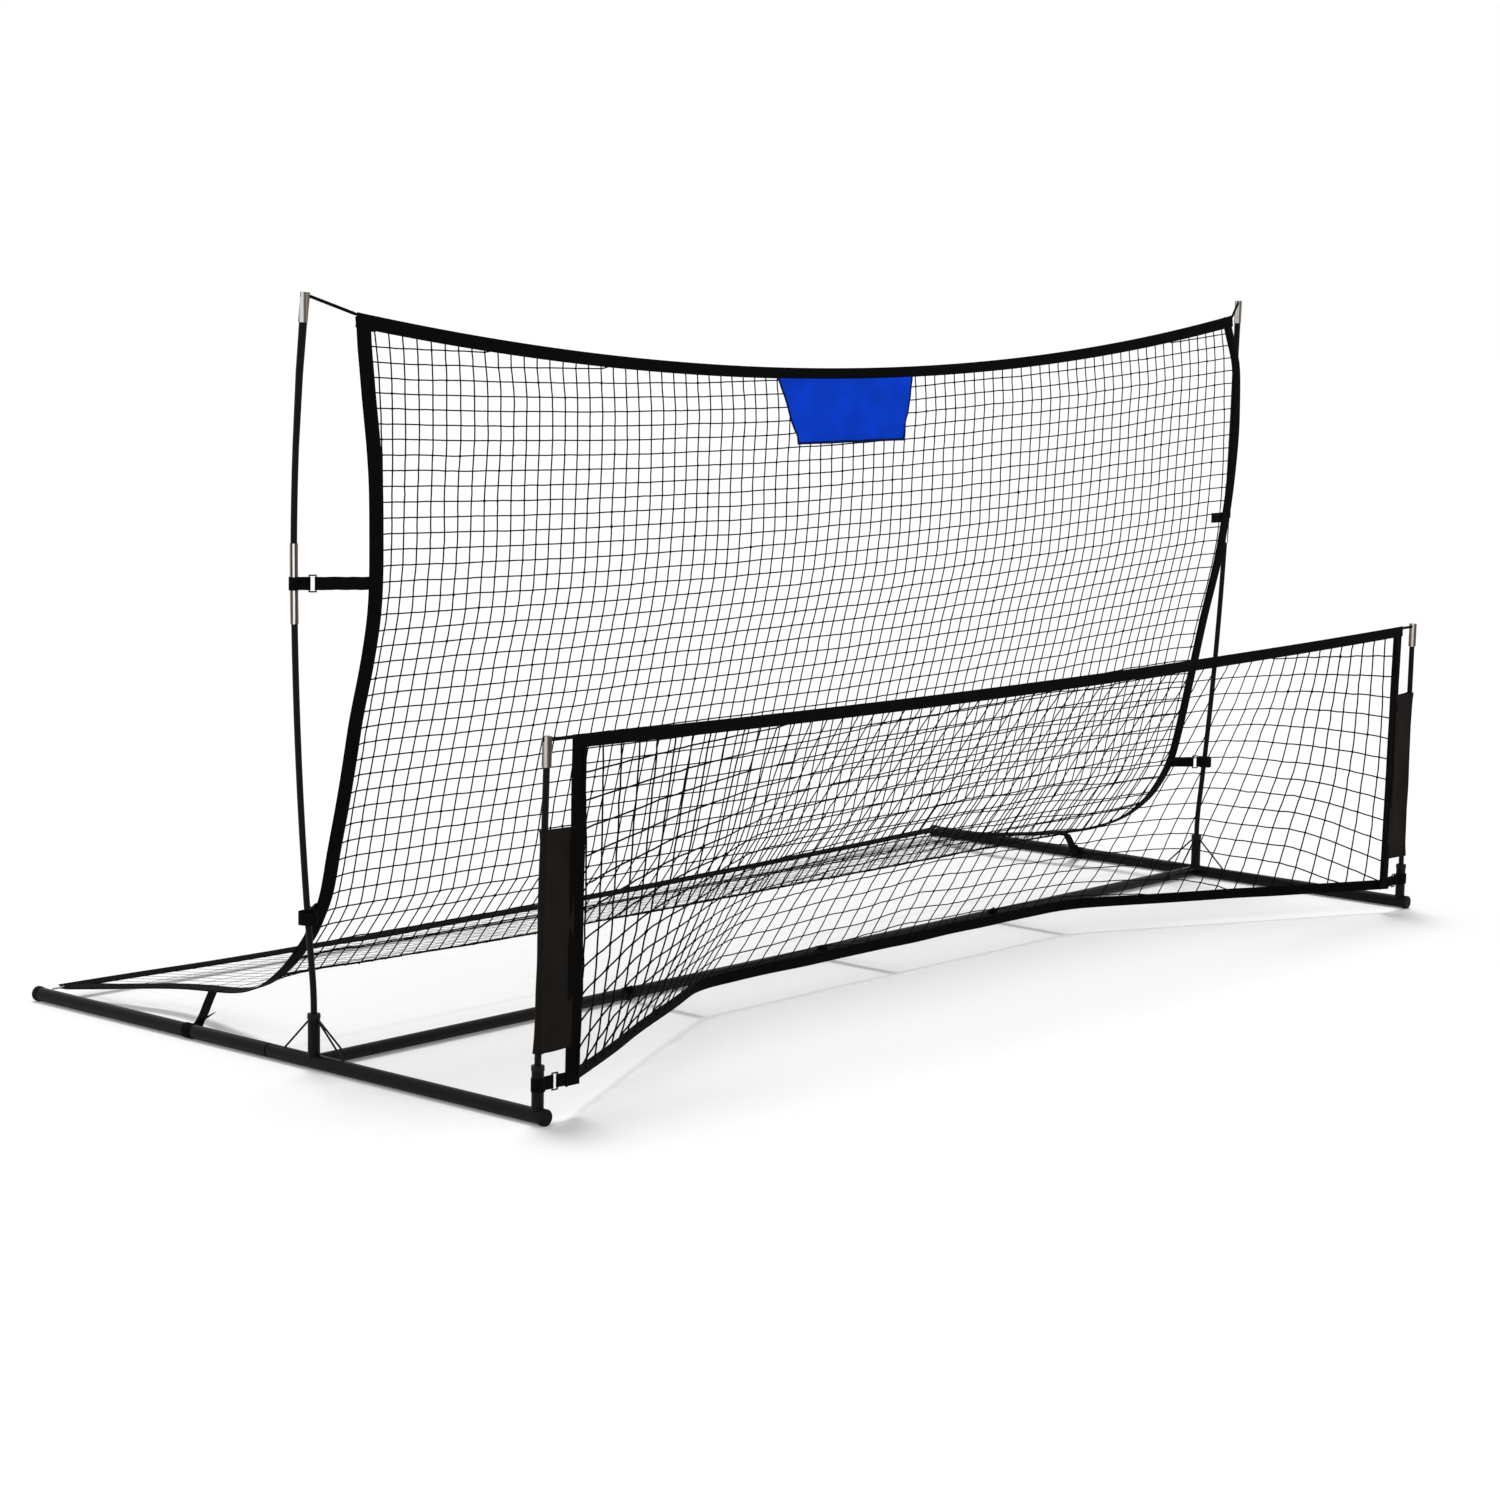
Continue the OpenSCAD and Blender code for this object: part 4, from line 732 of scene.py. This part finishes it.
def bands_tall():
    k = np.linspace(0, len(EDGE) - 1, 170)
    e = edge(k)
    for side, name in SIDES:
        b = Build()
        line = np.stack([HALF - e[:, 0] - SIDE_BAND / 2, e[:, 1], e[:, 2]], 1)
        up = np.array([line[0, 0] + 2.5, line[0, 1] + 1.6, top_edge(line[0, 0]) - 4])
        line = np.vstack([up, line[0] + (up - line[0]) * 0.3, line,
                          (line[-1, 0], line[-1, 1] + 22, line[-1, 2] - 1.6)])
        line[1, 1] += 0.8
        g = seeded(30 + side)
        line[:, 0] += smooth_noise(g, len(line), 8) * 0.6
        line[:, 1] += smooth_noise(g, len(line), 7) * 0.5
        line = sided(line, side)
        roll = 0.13 * np.clip((line[:, 1] + 20) / 200, 0, 1)
        across = np.stack([np.ones(len(line)), np.zeros(len(line)), roll], 1)
        b.ribbon(line, across, SIDE_BAND, 2.3, wave=0.35, seed=3 + side)
        obj = b.object("side_band_%s_fabric" % name, "side_band", "tall_frame")
        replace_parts(obj, "tall_side_band_%s" % name)
    b = Build()
    x = np.linspace(-TOP_HALF, TOP_HALF, 121)
    width = 23.5 + 5.0 * np.abs(x / TOP_HALF) ** 1.5
    line = np.stack([x, np.full_like(x, NET_TOP_Y - 0.2), top_edge(x) - width / 2], 1)
    b.ribbon(line, (0, 0, 1), width, 2.8, wave=0.3, seed=8)
    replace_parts(b.object("top_band_fabric", "band", "tall_frame"),
                "tall_top_band")
    b = Build()
    x = np.linspace(-REAR_HALF, REAR_HALF, 100)
    line = np.stack([x, rear_edge(x) - 12.5, np.full_like(x, REAR_Z)], 1)
    line[:, 2] -= 4 * (1 - (x / REAR_HALF) ** 2) - 0.5 * smooth_noise(rng, len(x), 6)
    b.ribbon(line, (0, 0.978, 0.208), 25, 2.4, wave=0.5, seed=9)
    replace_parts(b.object("rear_band_fabric", "band", "tall_frame"),
                "tall_rear_band")


# ---- the front net

FRONT_PLANE = FRONT_Y - 5
FRONT_TOP_Z, FRONT_SAG = 710.44, 17.0
FRONT_TOP_BAND, FRONT_SIDE_BAND, BOTTOM_BAND, BOTTOM_Z = 25.0, 38.0, 24.0, 57.0
FRONT_HALF_TOP, FRONT_HALF_LOW = 1455.42, 1456.0
DRAWN_HALF, DRAWN_Y = 647.0, POLE_Y - 212
BAND_LOW_Z, BAND_HIGH_Z = 81, 685.4
LEAN = 0.014812


def front_y(z):
    """The front net's plane leans forwards a little with its poles."""
    return FRONT_PLANE - (z - BAND_LOW_Z) * LEAN


def front_edge(x):
    return FRONT_TOP_Z - FRONT_SAG * (1 - (x / FRONT_HALF_TOP) ** 2)


def bottom_line(n):
    """The bottom band's line in plan, from the left corner to the right one."""
    pts = np.array([(-FRONT_HALF_LOW, FRONT_PLANE), (-DRAWN_HALF, DRAWN_Y), (DRAWN_HALF, DRAWN_Y),
                    (FRONT_HALF_LOW, FRONT_PLANE)])
    s = lengths(pts)
    return at(np.linspace(0, s[-1], n), s, pts)


def front_rows(u):
    """The row of meshes that meets the top band and the one that meets the bottom band at u.

    The drawn-back middle has more rows than the ends, so rows end on both bands.
    """
    u = np.abs(u)
    return (np.interp(u, [0, 0.53, 1], [1.8, 1.0, 0.0]),
            np.interp(u, [0, 0.6, 0.8, 1], [16.9, 16.2, 14.6, 12.0]))


def front_radius(line):
    """The strands look thinner in the middle, where the light comes through both nets."""
    return np.interp(np.abs(line[:, 0]), [800, 1150], [1.3, 1.8])


FRONT_COLUMNS, FRONT_ROWS = 58, 19


def front_net():
    g, cols = seeded(21), FRONT_COLUMNS
    u = np.linspace(-1, 1, cols + 1)
    top_x = u * (FRONT_HALF_TOP - FRONT_SIDE_BAND + 8)
    low = bottom_line(cols + 1)
    low[:, 0] *= (FRONT_HALF_LOW - FRONT_SIDE_BAND + 8) / FRONT_HALF_LOW
    high_row, low_row = front_rows(u)
    T = (np.arange(FRONT_ROWS)[None, :] - high_row[:, None]) / (low_row - high_row)[:, None]
    sway = [smooth_grid(g, T.shape, 6) for _ in range(3)]
    fine = [smooth_grid(g, T.shape, 1) for _ in range(2)]
    forward = 20 * np.interp(np.abs(u), [0.3, 0.7, 1], [-0.5, 1, 0.6])

    def place(i, t, j):
        """The points of columns i and rows j, at t from the top band (0) to the bottom one (1)."""
        bulge = np.sin(np.pi * t)
        free = (1 - u[i] ** 10) * np.clip(bulge, 0, 1) ** 0.35
        x = top_x[i] * (1 - t) + low[i, 0] * t + free * (3.0 * sway[0][i, j] + 0.9 * fine[0][i, j])
        y = (front_y(FRONT_TOP_Z) * (1 - t) + low[i, 1] * t - forward[i] * bulge
             + free * 3 * sway[1][i, j])
        top = front_edge(top_x[i]) - FRONT_TOP_BAND + 5
        z = top * (1 - t) + (BOTTOM_Z + BOTTOM_BAND - 5) * t - 6 * (1 - u[i] ** 6) * bulge
        z = z + free * (2.4 * sway[2][i, j] + 0.8 * fine[1][i, j])
        return np.stack([x, y, z], -1)

    b = Build()
    inside = (T > 0.008) & (T < 0.985)
    for i in range(cols + 1):
        j = np.pad(np.nonzero(inside[i])[0], 1, mode="edge")
        t = T[i, j]
        t[0], t[-1] = 0, 1
        line = place(i, t, j)
        strand = wavy(line, g, FRONT_WANDER)
        b.tube(strand, front_radius(strand), STRAND_SIDES, (1, 0, 0))
        b.balls(line[1:-1], 1.45 * float(front_radius(line[:1])[0]), 0.2)
    for j in range(T.shape[1]):
        for run in runs(inside[:, j]):
            line = place(run, T[run, j], j)
            # a row that meets a band goes on to the band's edge
            for end, out in ((0, -1), (-1, 1)):
                k = run[end] + out
                if len(run) > 1 and 0 <= k <= cols:
                    here, there = T[run[end], j], T[k, j]
                    stop = 0.0 if there < 0.5 else 1.0
                    step = np.clip((stop - here) / (there - here), 0.05, 1)
                    more = line[end] + (place(k, stop, j) - line[end]) * step
                    line = np.insert(line, 0 if end == 0 else len(line), more, 0)
            if len(line) > 1:
                strand = wavy(line, g, FRONT_WANDER)
                b.tube(strand, front_radius(strand), STRAND_SIDES, (0, 0.35, 1))
    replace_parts(b.object("front_netting", "net", "front_frame"), "front_net")


def bands_front():
    b = Build()
    x = np.linspace(-FRONT_HALF_TOP, FRONT_HALF_TOP, 110)
    line = np.stack([x, np.full_like(x, front_y(FRONT_TOP_Z) - 0.2),
                     front_edge(x) - FRONT_TOP_BAND / 2], 1)
    b.ribbon(line, (0, 0, 1), FRONT_TOP_BAND, 2.8, wave=0.3, seed=12)
    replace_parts(b.object("front_top_band_fabric", "band", "front_frame"),
                "front_top_band")
    for side, name in SIDES:
        b = Build()
        t = np.linspace(0, 1, 50)
        z = (FRONT_TOP_Z - 4) * (1 - t) + (BOTTOM_Z + 2) * t
        x = (FRONT_HALF_TOP * (1 - t) + FRONT_HALF_LOW * t - FRONT_SIDE_BAND / 2) * side
        line = np.stack([x, front_y(z) + 1.4, z], 1)
        line[:, 0] += smooth_noise(seeded(50 + side), len(t), 6) * 0.5
        b.ribbon(line, (1, 0, 0), FRONT_SIDE_BAND, 2.3, wave=0.35, seed=14)
        obj = b.object("front_side_band_%s_fabric" % name, "front_band", "front_frame")
        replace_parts(obj, "front_side_band_%s" % name)
    # the bottom band rounds its corners: each point is the mean of seven
    b = Build()
    n = 141
    xy = [np.convolve(np.pad(row, 3, mode="reflect", reflect_type="odd"), np.ones(7) / 7, "valid")
          for row in bottom_line(n).T]
    g = seeded(61)
    z = BOTTOM_Z + BOTTOM_BAND / 2 + smooth_noise(g, n, 7) * 0.9
    line = np.stack([xy[0], xy[1] + smooth_noise(g, n, 6) * 0.8, z], 1)
    b.ribbon(line, (0, 0, 1), BOTTOM_BAND, 2.6, wave=0.6, seed=15)
    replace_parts(b.object("bottom_band_fabric", "band", "front_frame"),
                "front_bottom_band")


# ---- straps

RING_R, RING_HALF = 1.5, 6.5
WEB, LAYER, CLEAR = 25.0, 1.1, 0.3


def arc2(cx, cy, r, a0, a1, n):
    a = np.radians(np.linspace(a0, a1, n))
    return np.stack([cx + r * np.cos(a), cy + r * np.sin(a)], 1)


def place_plan(points, post, end, z0):
    """Plan points with +X from the post to the end, put in the frame at height z0."""
    ang = math.atan2(end[1] - post[1], end[0] - post[0])
    c, s = math.cos(ang), math.sin(ang)
    x, y = points.T
    return np.stack([post[0] + c * x - s * y, post[1] + s * x + c * y, np.full(len(x), z0)], 1)


def tangent_angle(centre, r, point, turn):
    """Where, in degrees, a line from the point touches the circle round the centre."""
    dx, dz = point[0] - centre[0], point[1] - centre[1]
    lift = math.degrees(math.acos(r / math.hypot(dx, dz)))
    return math.degrees(math.atan2(dz, dx)) + turn * lift


def ring_strap(b, post, end, z, loop_r, ring_at, tail_over, side, seed, layers):
    """Webbing loop round a post and through a ring, and the tail from the ring to the band."""
    r = loop_r + CLEAR + LAYER / 2
    fold = RING_R + CLEAR + LAYER / 2
    near, far = ring_at - RING_HALF, ring_at + RING_HALF
    gap = LAYER / 2 + 0.12
    a = math.degrees(math.asin(gap / r))
    f = math.degrees(math.asin(gap / fold))
    path = np.vstack([
        (near - 5 - 4, gap + 0.1),
        arc2(0, 0, r, a, 360 - a, 40),
        (near - fold - 4, -gap),
        arc2(near, 0, fold, 180 + f, 540 - f, 16),
        (near - fold - 3, gap + LAYER),
        arc2(0, 0, r + LAYER + 0.1, a + 4, a + 120, 16) if layers > 1
        else (r * 0.9 + 3, gap + LAYER)])
    length = math.hypot(end[0] - post[0], end[1] - post[1])
    tail = place_plan(np.vstack([
        (min(far + 34, length - 6), gap + LAYER * 0.2), (far + fold + 3, gap),
        arc2(far, 0, fold, f, 360 - f, 16),
        (far + fold + 4, -gap), (length - 2, -gap * 0.6)]), post, end, z)
    over = np.array([[tail[-1, 0] - t, end[1] + 2.2, z] for t in np.linspace(5, tail_over, 6)])
    g = seeded(seed)
    for line, step, width in ((place_plan(path, post, end, z), 1.6, 8),
                              (np.concatenate([tail, over]), 1.8, 10)):
        line = resample(line, step)
        line[:, 2] += smooth_noise(g, len(line), width) * 0.25
        b.ribbon(sided(line, side), (0, 0, 1), WEB, LAYER)


# (x, y) of the post, (x, y) of the band's edge, and the strap's height
MID = ((1586.6, -135.41), (1471.96, -218.96), 946.62)
LOW = ((1542.3, -122.65), (1476.95, -70.06), 300.48)
CORNER = ((1524.0, FRONT_Y), (1456.0, FRONT_PLANE), 74.0)


def ring_straps():
    for name, spec, loop_r, ring_at, over, layers, body, node in (
            ("mid_strap", MID, 8.65, 35, (81, 33), 1, "tall_frame", "mid_straps"),
            ("lower_strap", LOW, 17.0, 25, (30, 30), 2, "tall_frame", "lower_straps"),
            ("corner_strap", CORNER, 11.5, 41, (24, 24), 2, "base_frame", "front_corner_straps")):
        b = Build()
        for side, _ in SIDES:
            ring_strap(b, *spec, loop_r, ring_at, over[side < 0], side, 70 + side, layers)
        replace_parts(b.object(name + "_webbing", "webbing", body), node)


def ground_straps():
    """From the side bands down and round the side tubes, with a loose pointed end each."""
    y0 = POLE_Y + 370
    e = edge(np.interp(y0, EDGE_LINE[200:, 1], EDGE_K[200:]))
    edge_x = HALF - e[0]
    r = SIDE_TUBE_R + 0.2 + LAYER / 2
    start = tangent_angle((HALF, TUBE_Z), r, (edge_x + 1, e[2] - 1.5), 1)
    path = np.vstack([
        (edge_x - 30, e[2] - 3.2), (edge_x - 4, e[2] - 3.0), (edge_x + 1 + 3, e[2] - 1.5 - 2.4),
        arc2(HALF, TUBE_Z, r, start, start + 350, 44),
        arc2(HALF, TUBE_Z, r + 1.2, start + 352, start + 372, 4)])
    for side, name in SIDES:
        b = Build()
        slant = -17.0 if side > 0 else 34.0
        free = np.zeros(len(path))
        free[:3] = slant, slant, slant * 0.94
        line = resample(np.stack([path[:, 0], y0 + free, path[:, 1]], 1), 2.0)
        line[:, 1] += smooth_noise(seeded(90 + side), len(line), 10) * 0.6
        b.ribbon(sided(line, side), (0, 1, 0), WEB, LAYER)
        tab = curve([(HALF - 13, y0 + 6, 27), (HALF - 24, y0 + 2, 33), (HALF - 40, y0 - 4, 38),
                     (HALF - 58, y0 - 8, 46)], 8)
        width = 24 * np.interp(np.linspace(0, 1, len(tab)), [0, 0.5, 0.8, 1], [0.9, 1, 0.7, 0.1])
        b.ribbon(sided(tab, side), (0, 0.8, -0.6), width, LAYER)
        obj = b.object("ground_strap_%s_webbing" % name, "webbing", "base_frame")
        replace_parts(obj, "ground_strap_%s" % name)


def cross_straps():
    """From the front net's bottom band down and round the cross tube."""
    b = Build()
    r = CROSS_TUBE_R + 0.2 + LAYER / 2
    end = (DRAWN_Y + 1.8, BOTTOM_Z + BOTTOM_BAND / 2)
    start = tangent_angle((POLE_Y, TUBE_Z), r, end, -1)
    path = np.vstack([
        (end[0], end[1] - 9), (end[0] + 0.4, end[1]), (end[0] + 4, end[1] + 0.5),
        arc2(POLE_Y, TUBE_Z, r, start, start - 352, 44),
        (POLE_Y - 16, TUBE_Z + 15.2), (POLE_Y - 60, TUBE_Z + 24.8)])
    for n, x in enumerate((-639, 0, 639)):
        line = resample(np.stack([np.full(len(path), float(x)), path[:, 0], path[:, 1]], 1), 2.2)
        line[:, 0] += smooth_noise(seeded(100 + n), len(line), 14) * 0.8
        b.ribbon(line, (1, 0, 0), WEB, LAYER)
    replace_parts(b.object("cross_strap_webbing", "webbing", "base_frame"),
                "cross_straps")


# ---- sleeves, flap and cords

SLEEVE_LOW_Z, SLEEVE_HIGH_Z, SLEEVE_GIRTH = 133, 540, 0.19
# Where, round a sleeve, the pole's share ends and where the rear face does
ROUND, REAR = 0.36, 0.68


def pole_xy(z):
    """The front pole's axis at height z. It leans inwards and forwards alike."""
    lean = (z - 125.565) * 0.01481
    return 1523.91 - lean, -726.09 - lean


def band_x(z):
    """The outer edge of the front net's side band at height z."""
    return FRONT_HALF_LOW + (FRONT_HALF_TOP - FRONT_HALF_LOW) * (z - BAND_LOW_Z) / (
        BAND_HIGH_Z - BAND_LOW_Z)


def sleeves():
    """Round the front poles, and from there to the side bands and back."""
    n, m = 90, 56
    z = np.linspace(SLEEVE_LOW_Z, SLEEVE_HIGH_Z, n)
    flare = (1 + 0.25 * np.exp(-((z - SLEEVE_LOW_Z) / 20) ** 2)
             + 0.2 * np.exp(-((SLEEVE_HIGH_Z - z) / 14) ** 2))
    for side, name in SIDES:
        b = Build()
        g = seeded(40 + side)
        slack = [smooth_noise(g, n, 14) for _ in range(5)]
        pts = np.zeros((n, m, 3))
        for i in range(n):
            px, py = pole_xy(z[i])
            bx, by = band_x(z[i]) - 16, front_y(z[i])
            r = 7.9 * flare[i] + 0.4 * slack[0][i]
            span = px - bx
            for j in range(m):
                q = j / m
                if q < ROUND:
                    a = math.radians(-118 + 236 * q / ROUND)
                    x, y = px + r * math.cos(a), py + r * math.sin(a)
                else:
                    rear = q < REAR
                    w = (q - ROUND) / 0.32 if rear else 1 - (q - REAR) / 0.32
                    out, off, k = (7, 2.9, 1) if rear else (-7, 0, 3)
                    x = px - 3.6 - (span - 3.6) * w
                    y = (py + out * (1 - w) ** 1.6 + (by + off - py) * w
                         + 1.4 * slack[k][i] * math.sin(math.pi * w)
                         + 0.9 * slack[k + 1][i] * math.sin(2 * math.pi * w))
                pts[i, j] = x * side, y, z[i]
        if side < 0:
            pts = pts[:, ::-1]
        across = np.append(np.linspace(0, SLEEVE_GIRTH, m, endpoint=False), SLEEVE_GIRTH)
        b.grid(pts, z - z[0], across)
        for end in (0, -1):  # hems at both ends
            b.tube(pts[end], 1.1, 6, (0, 0, 1), closed=True)
        obj = b.object("pole_sleeve_%s_fabric" % name, "sleeve", "front_frame")
        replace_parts(obj, "pole_sleeve_%s" % name)


def flap():
    hang = TOP_Z - TOP_SAG - TOP_BAND - 0.3
    n, m = 40, 90
    V, U = np.meshgrid(np.linspace(0, 1, n), np.linspace(-1, 1, m), indexing="ij")
    X = FLAP_MID + U * (FLAP_TOP + (FLAP_LOW - FLAP_TOP) * V)
    Z = hang - FLAP_HEIGHT * V + (top_edge(X) - TOP_BAND - hang) * (1 - V) ** 2 + 4.0 * (1 - V)
    g = seeded(17)
    wrinkle = 1.5 * smooth_grid(g, U.shape, 30) + 1.0 * smooth_grid(g, U.shape, 10)
    Y = flap_y(Z) - (0.9 * wrinkle + 1.4) * V ** 0.6 - 1.2 * V
    b = Build()
    I, J = np.meshgrid(np.arange(n - 1), np.arange(m - 1), indexing="ij")
    quads = (I * m + J).reshape(-1, 1) + (0, m, m + 1, 1)
    for off, turn in ((-0.6, 1), (0.5, -1)):
        pts = np.stack([X, Y + off, Z], -1).reshape(-1, 3)
        b.add(pts, quads[:, ::turn], pts[quads[:, ::turn]][..., [0, 2]] * MM)
    obj = b.object("flap_cloth", "flap", "tall_frame")
    hem = Build()
    for col, inwards in ((0, 2.5), (-1, -2.5)):
        hem.ribbon(np.stack([X[:, col] + inwards, Y[:, col], Z[:, col]], 1), (1, 0, 0.05), 5.5, 2.6)
    hem.ribbon(np.stack([X[-1], Y[-1], Z[-1] + 2.5], 1), (0, 0, 1), 5.5, 2.6)
    hem_obj = hem.object("flap_hem", "hem", "tall_frame")
    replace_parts(obj, "flap")


def cords():
    r = 3.2
    for name, start, end, body, node in (
            ("top_cord", (1575.5, -154.7, 1485.7), (1483, -197, 1449), "tall_frame",
             "top_corner_cords"),
            ("front_cord", (1515.3, -734.7, 705.1), (1452, front_y(706), 705.5), "front_frame",
             "front_corner_cords")):
        b = Build()
        a, c = np.array(start), np.array(end)
        t = np.linspace(0, 1, 26)[:, None]
        line = a * (1 - t) + c * t
        r_line = np.interp(t[:, 0], [0, 0.06, 0.94, 1], [0.8 * r, r, r, 0.8 * r])
        # the turn of cord in the slot and round the ferrule
        back = a + (a - c) / np.linalg.norm(a - c) * 5.5
        loop = curve([a, back, back + (0, 0, -3), back + (0, 0, -5)], 6)
        for side, _ in SIDES:
            b.tube(sided(line, side), r_line, 10, (0, 0, 1), caps=True)
            b.tube(sided(loop, side), r * 0.75, 8, (0, 1, 0), caps=True)
        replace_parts(b.object(name + "_twine", "cord", body), node)
    b = Build()
    y = REAR_Y - 12.5
    line = curve([(REAR_HALF - 6, y, REAR_Z), (REAR_HALF + 8, y, REAR_Z - 0.4),
                  (REAR_HALF + 24, y, REAR_Z - 0.2)], 10)
    for side, _ in SIDES:
        b.tube(sided(line, side), 2.0, 10, (0, 0, 1), caps=True)
    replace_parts(b.object("rear_elastic", "elastic", "base_frame"),
                "rear_corner_cords")


# ---- welds on the base


def welds():
    b = Build()
    g = seeded(77)
    a = np.linspace(0, 2 * math.pi, 65)[:-1]
    for side, _ in SIDES:
        for y, r in ((POLE_Y, 12.0), (FRONT_Y, 11.5)):
            x = r * np.cos(a)
            z = TUBE_Z + np.sqrt(SIDE_TUBE_R ** 2 - np.minimum(np.abs(x), 14.2) ** 2)
            line = np.stack([HALF + x, y + r * np.sin(a), z + 0.3], 1)
            rad = 1.5 + 0.3 * np.sin(a * 22) + 0.15 * smooth_noise(g, 64, 3)
            b.tube(sided(line, side), rad, 7, (0, 0, 1), closed=True)
        # where the cross tube meets the side tube
        z = CROSS_TUBE_R * np.sin(a)
        line = np.stack([HALF - np.sqrt(SIDE_TUBE_R ** 2 - z ** 2) - 0.2,
                         POLE_Y + CROSS_TUBE_R * np.cos(a), np.maximum(TUBE_Z + z, 3)], 1)
        b.tube(sided(line, side), 1.5 + 0.3 * np.sin(a * 24), 7, (1, 0, 0), closed=True)
    b.object("weld_beads", "weld", "base_frame")


# ---- stage and light

AMBIENT, FLOOR_LIFT, FLOOR_HALF = 0.45, 0.12, 60


def stage():
    # The floor renders white to the camera and in reflections, and keeps the soft shadows
    s = Shader("floor_white", (0.93, 0.93, 0.93), 0.9, specular=0.0)
    s.color(s.ramp(s.noise(3, 2), [(0.3, (0.928, 0.928, 0.928)), (0.7, (0.932, 0.932, 0.932))]))
    s.set("Emission Color", (1, 1, 1, 1))
    s.set("Emission Strength", s.times(s.seen(), FLOOR_LIFT))
    mesh = bpy.data.meshes.new("floor")
    h = FLOOR_HALF
    mesh.from_pydata([(-h, -h, 0), (h, -h, 0), (h, h, 0), (-h, h, 0)], [], [(0, 1, 2, 3)])
    floor = bpy.data.objects.new("floor", mesh)
    mesh.materials.append(s.mat)
    scene.collection.objects.link(floor)

    world = bpy.data.worlds.new("studio")
    scene.world = world
    world.use_nodes = True
    w = Nodes(world.node_tree)
    w.nodes.clear()
    mix = w.nodes.new("ShaderNodeMixShader")
    w.put(mix.inputs[0], w.seen())
    for i, strength in ((1, AMBIENT), (2, 1.0)):
        w.put(mix.inputs[i],
              w.node("ShaderNodeBackground", 0, Color=(1, 1, 1, 1), Strength=strength))
    w.put(w.nodes.new("ShaderNodeOutputWorld").inputs["Surface"], mix.outputs[0])

    def sun(name, toward, power, spread):
        data = bpy.data.lights.new(name, "SUN")
        data.energy = power
        data.angle = math.radians(spread)
        obj = bpy.data.objects.new(name, data)
        obj.rotation_euler = Vector(toward).to_track_quat("-Z", "Y").to_euler()
        scene.collection.objects.link(obj)

    sun("overhead_softbox", (-0.16, -0.21, -1), 1.5, 16)
    sun("side_softbox", (0.75, 0.45, -0.8), 0.35, 30)
    scene.view_settings.view_transform = "Standard"


tall_net()
bands_tall()
front_net()
bands_front()
ring_straps()
ground_straps()
cross_straps()
sleeves()
flap()
cords()
welds()
stage()
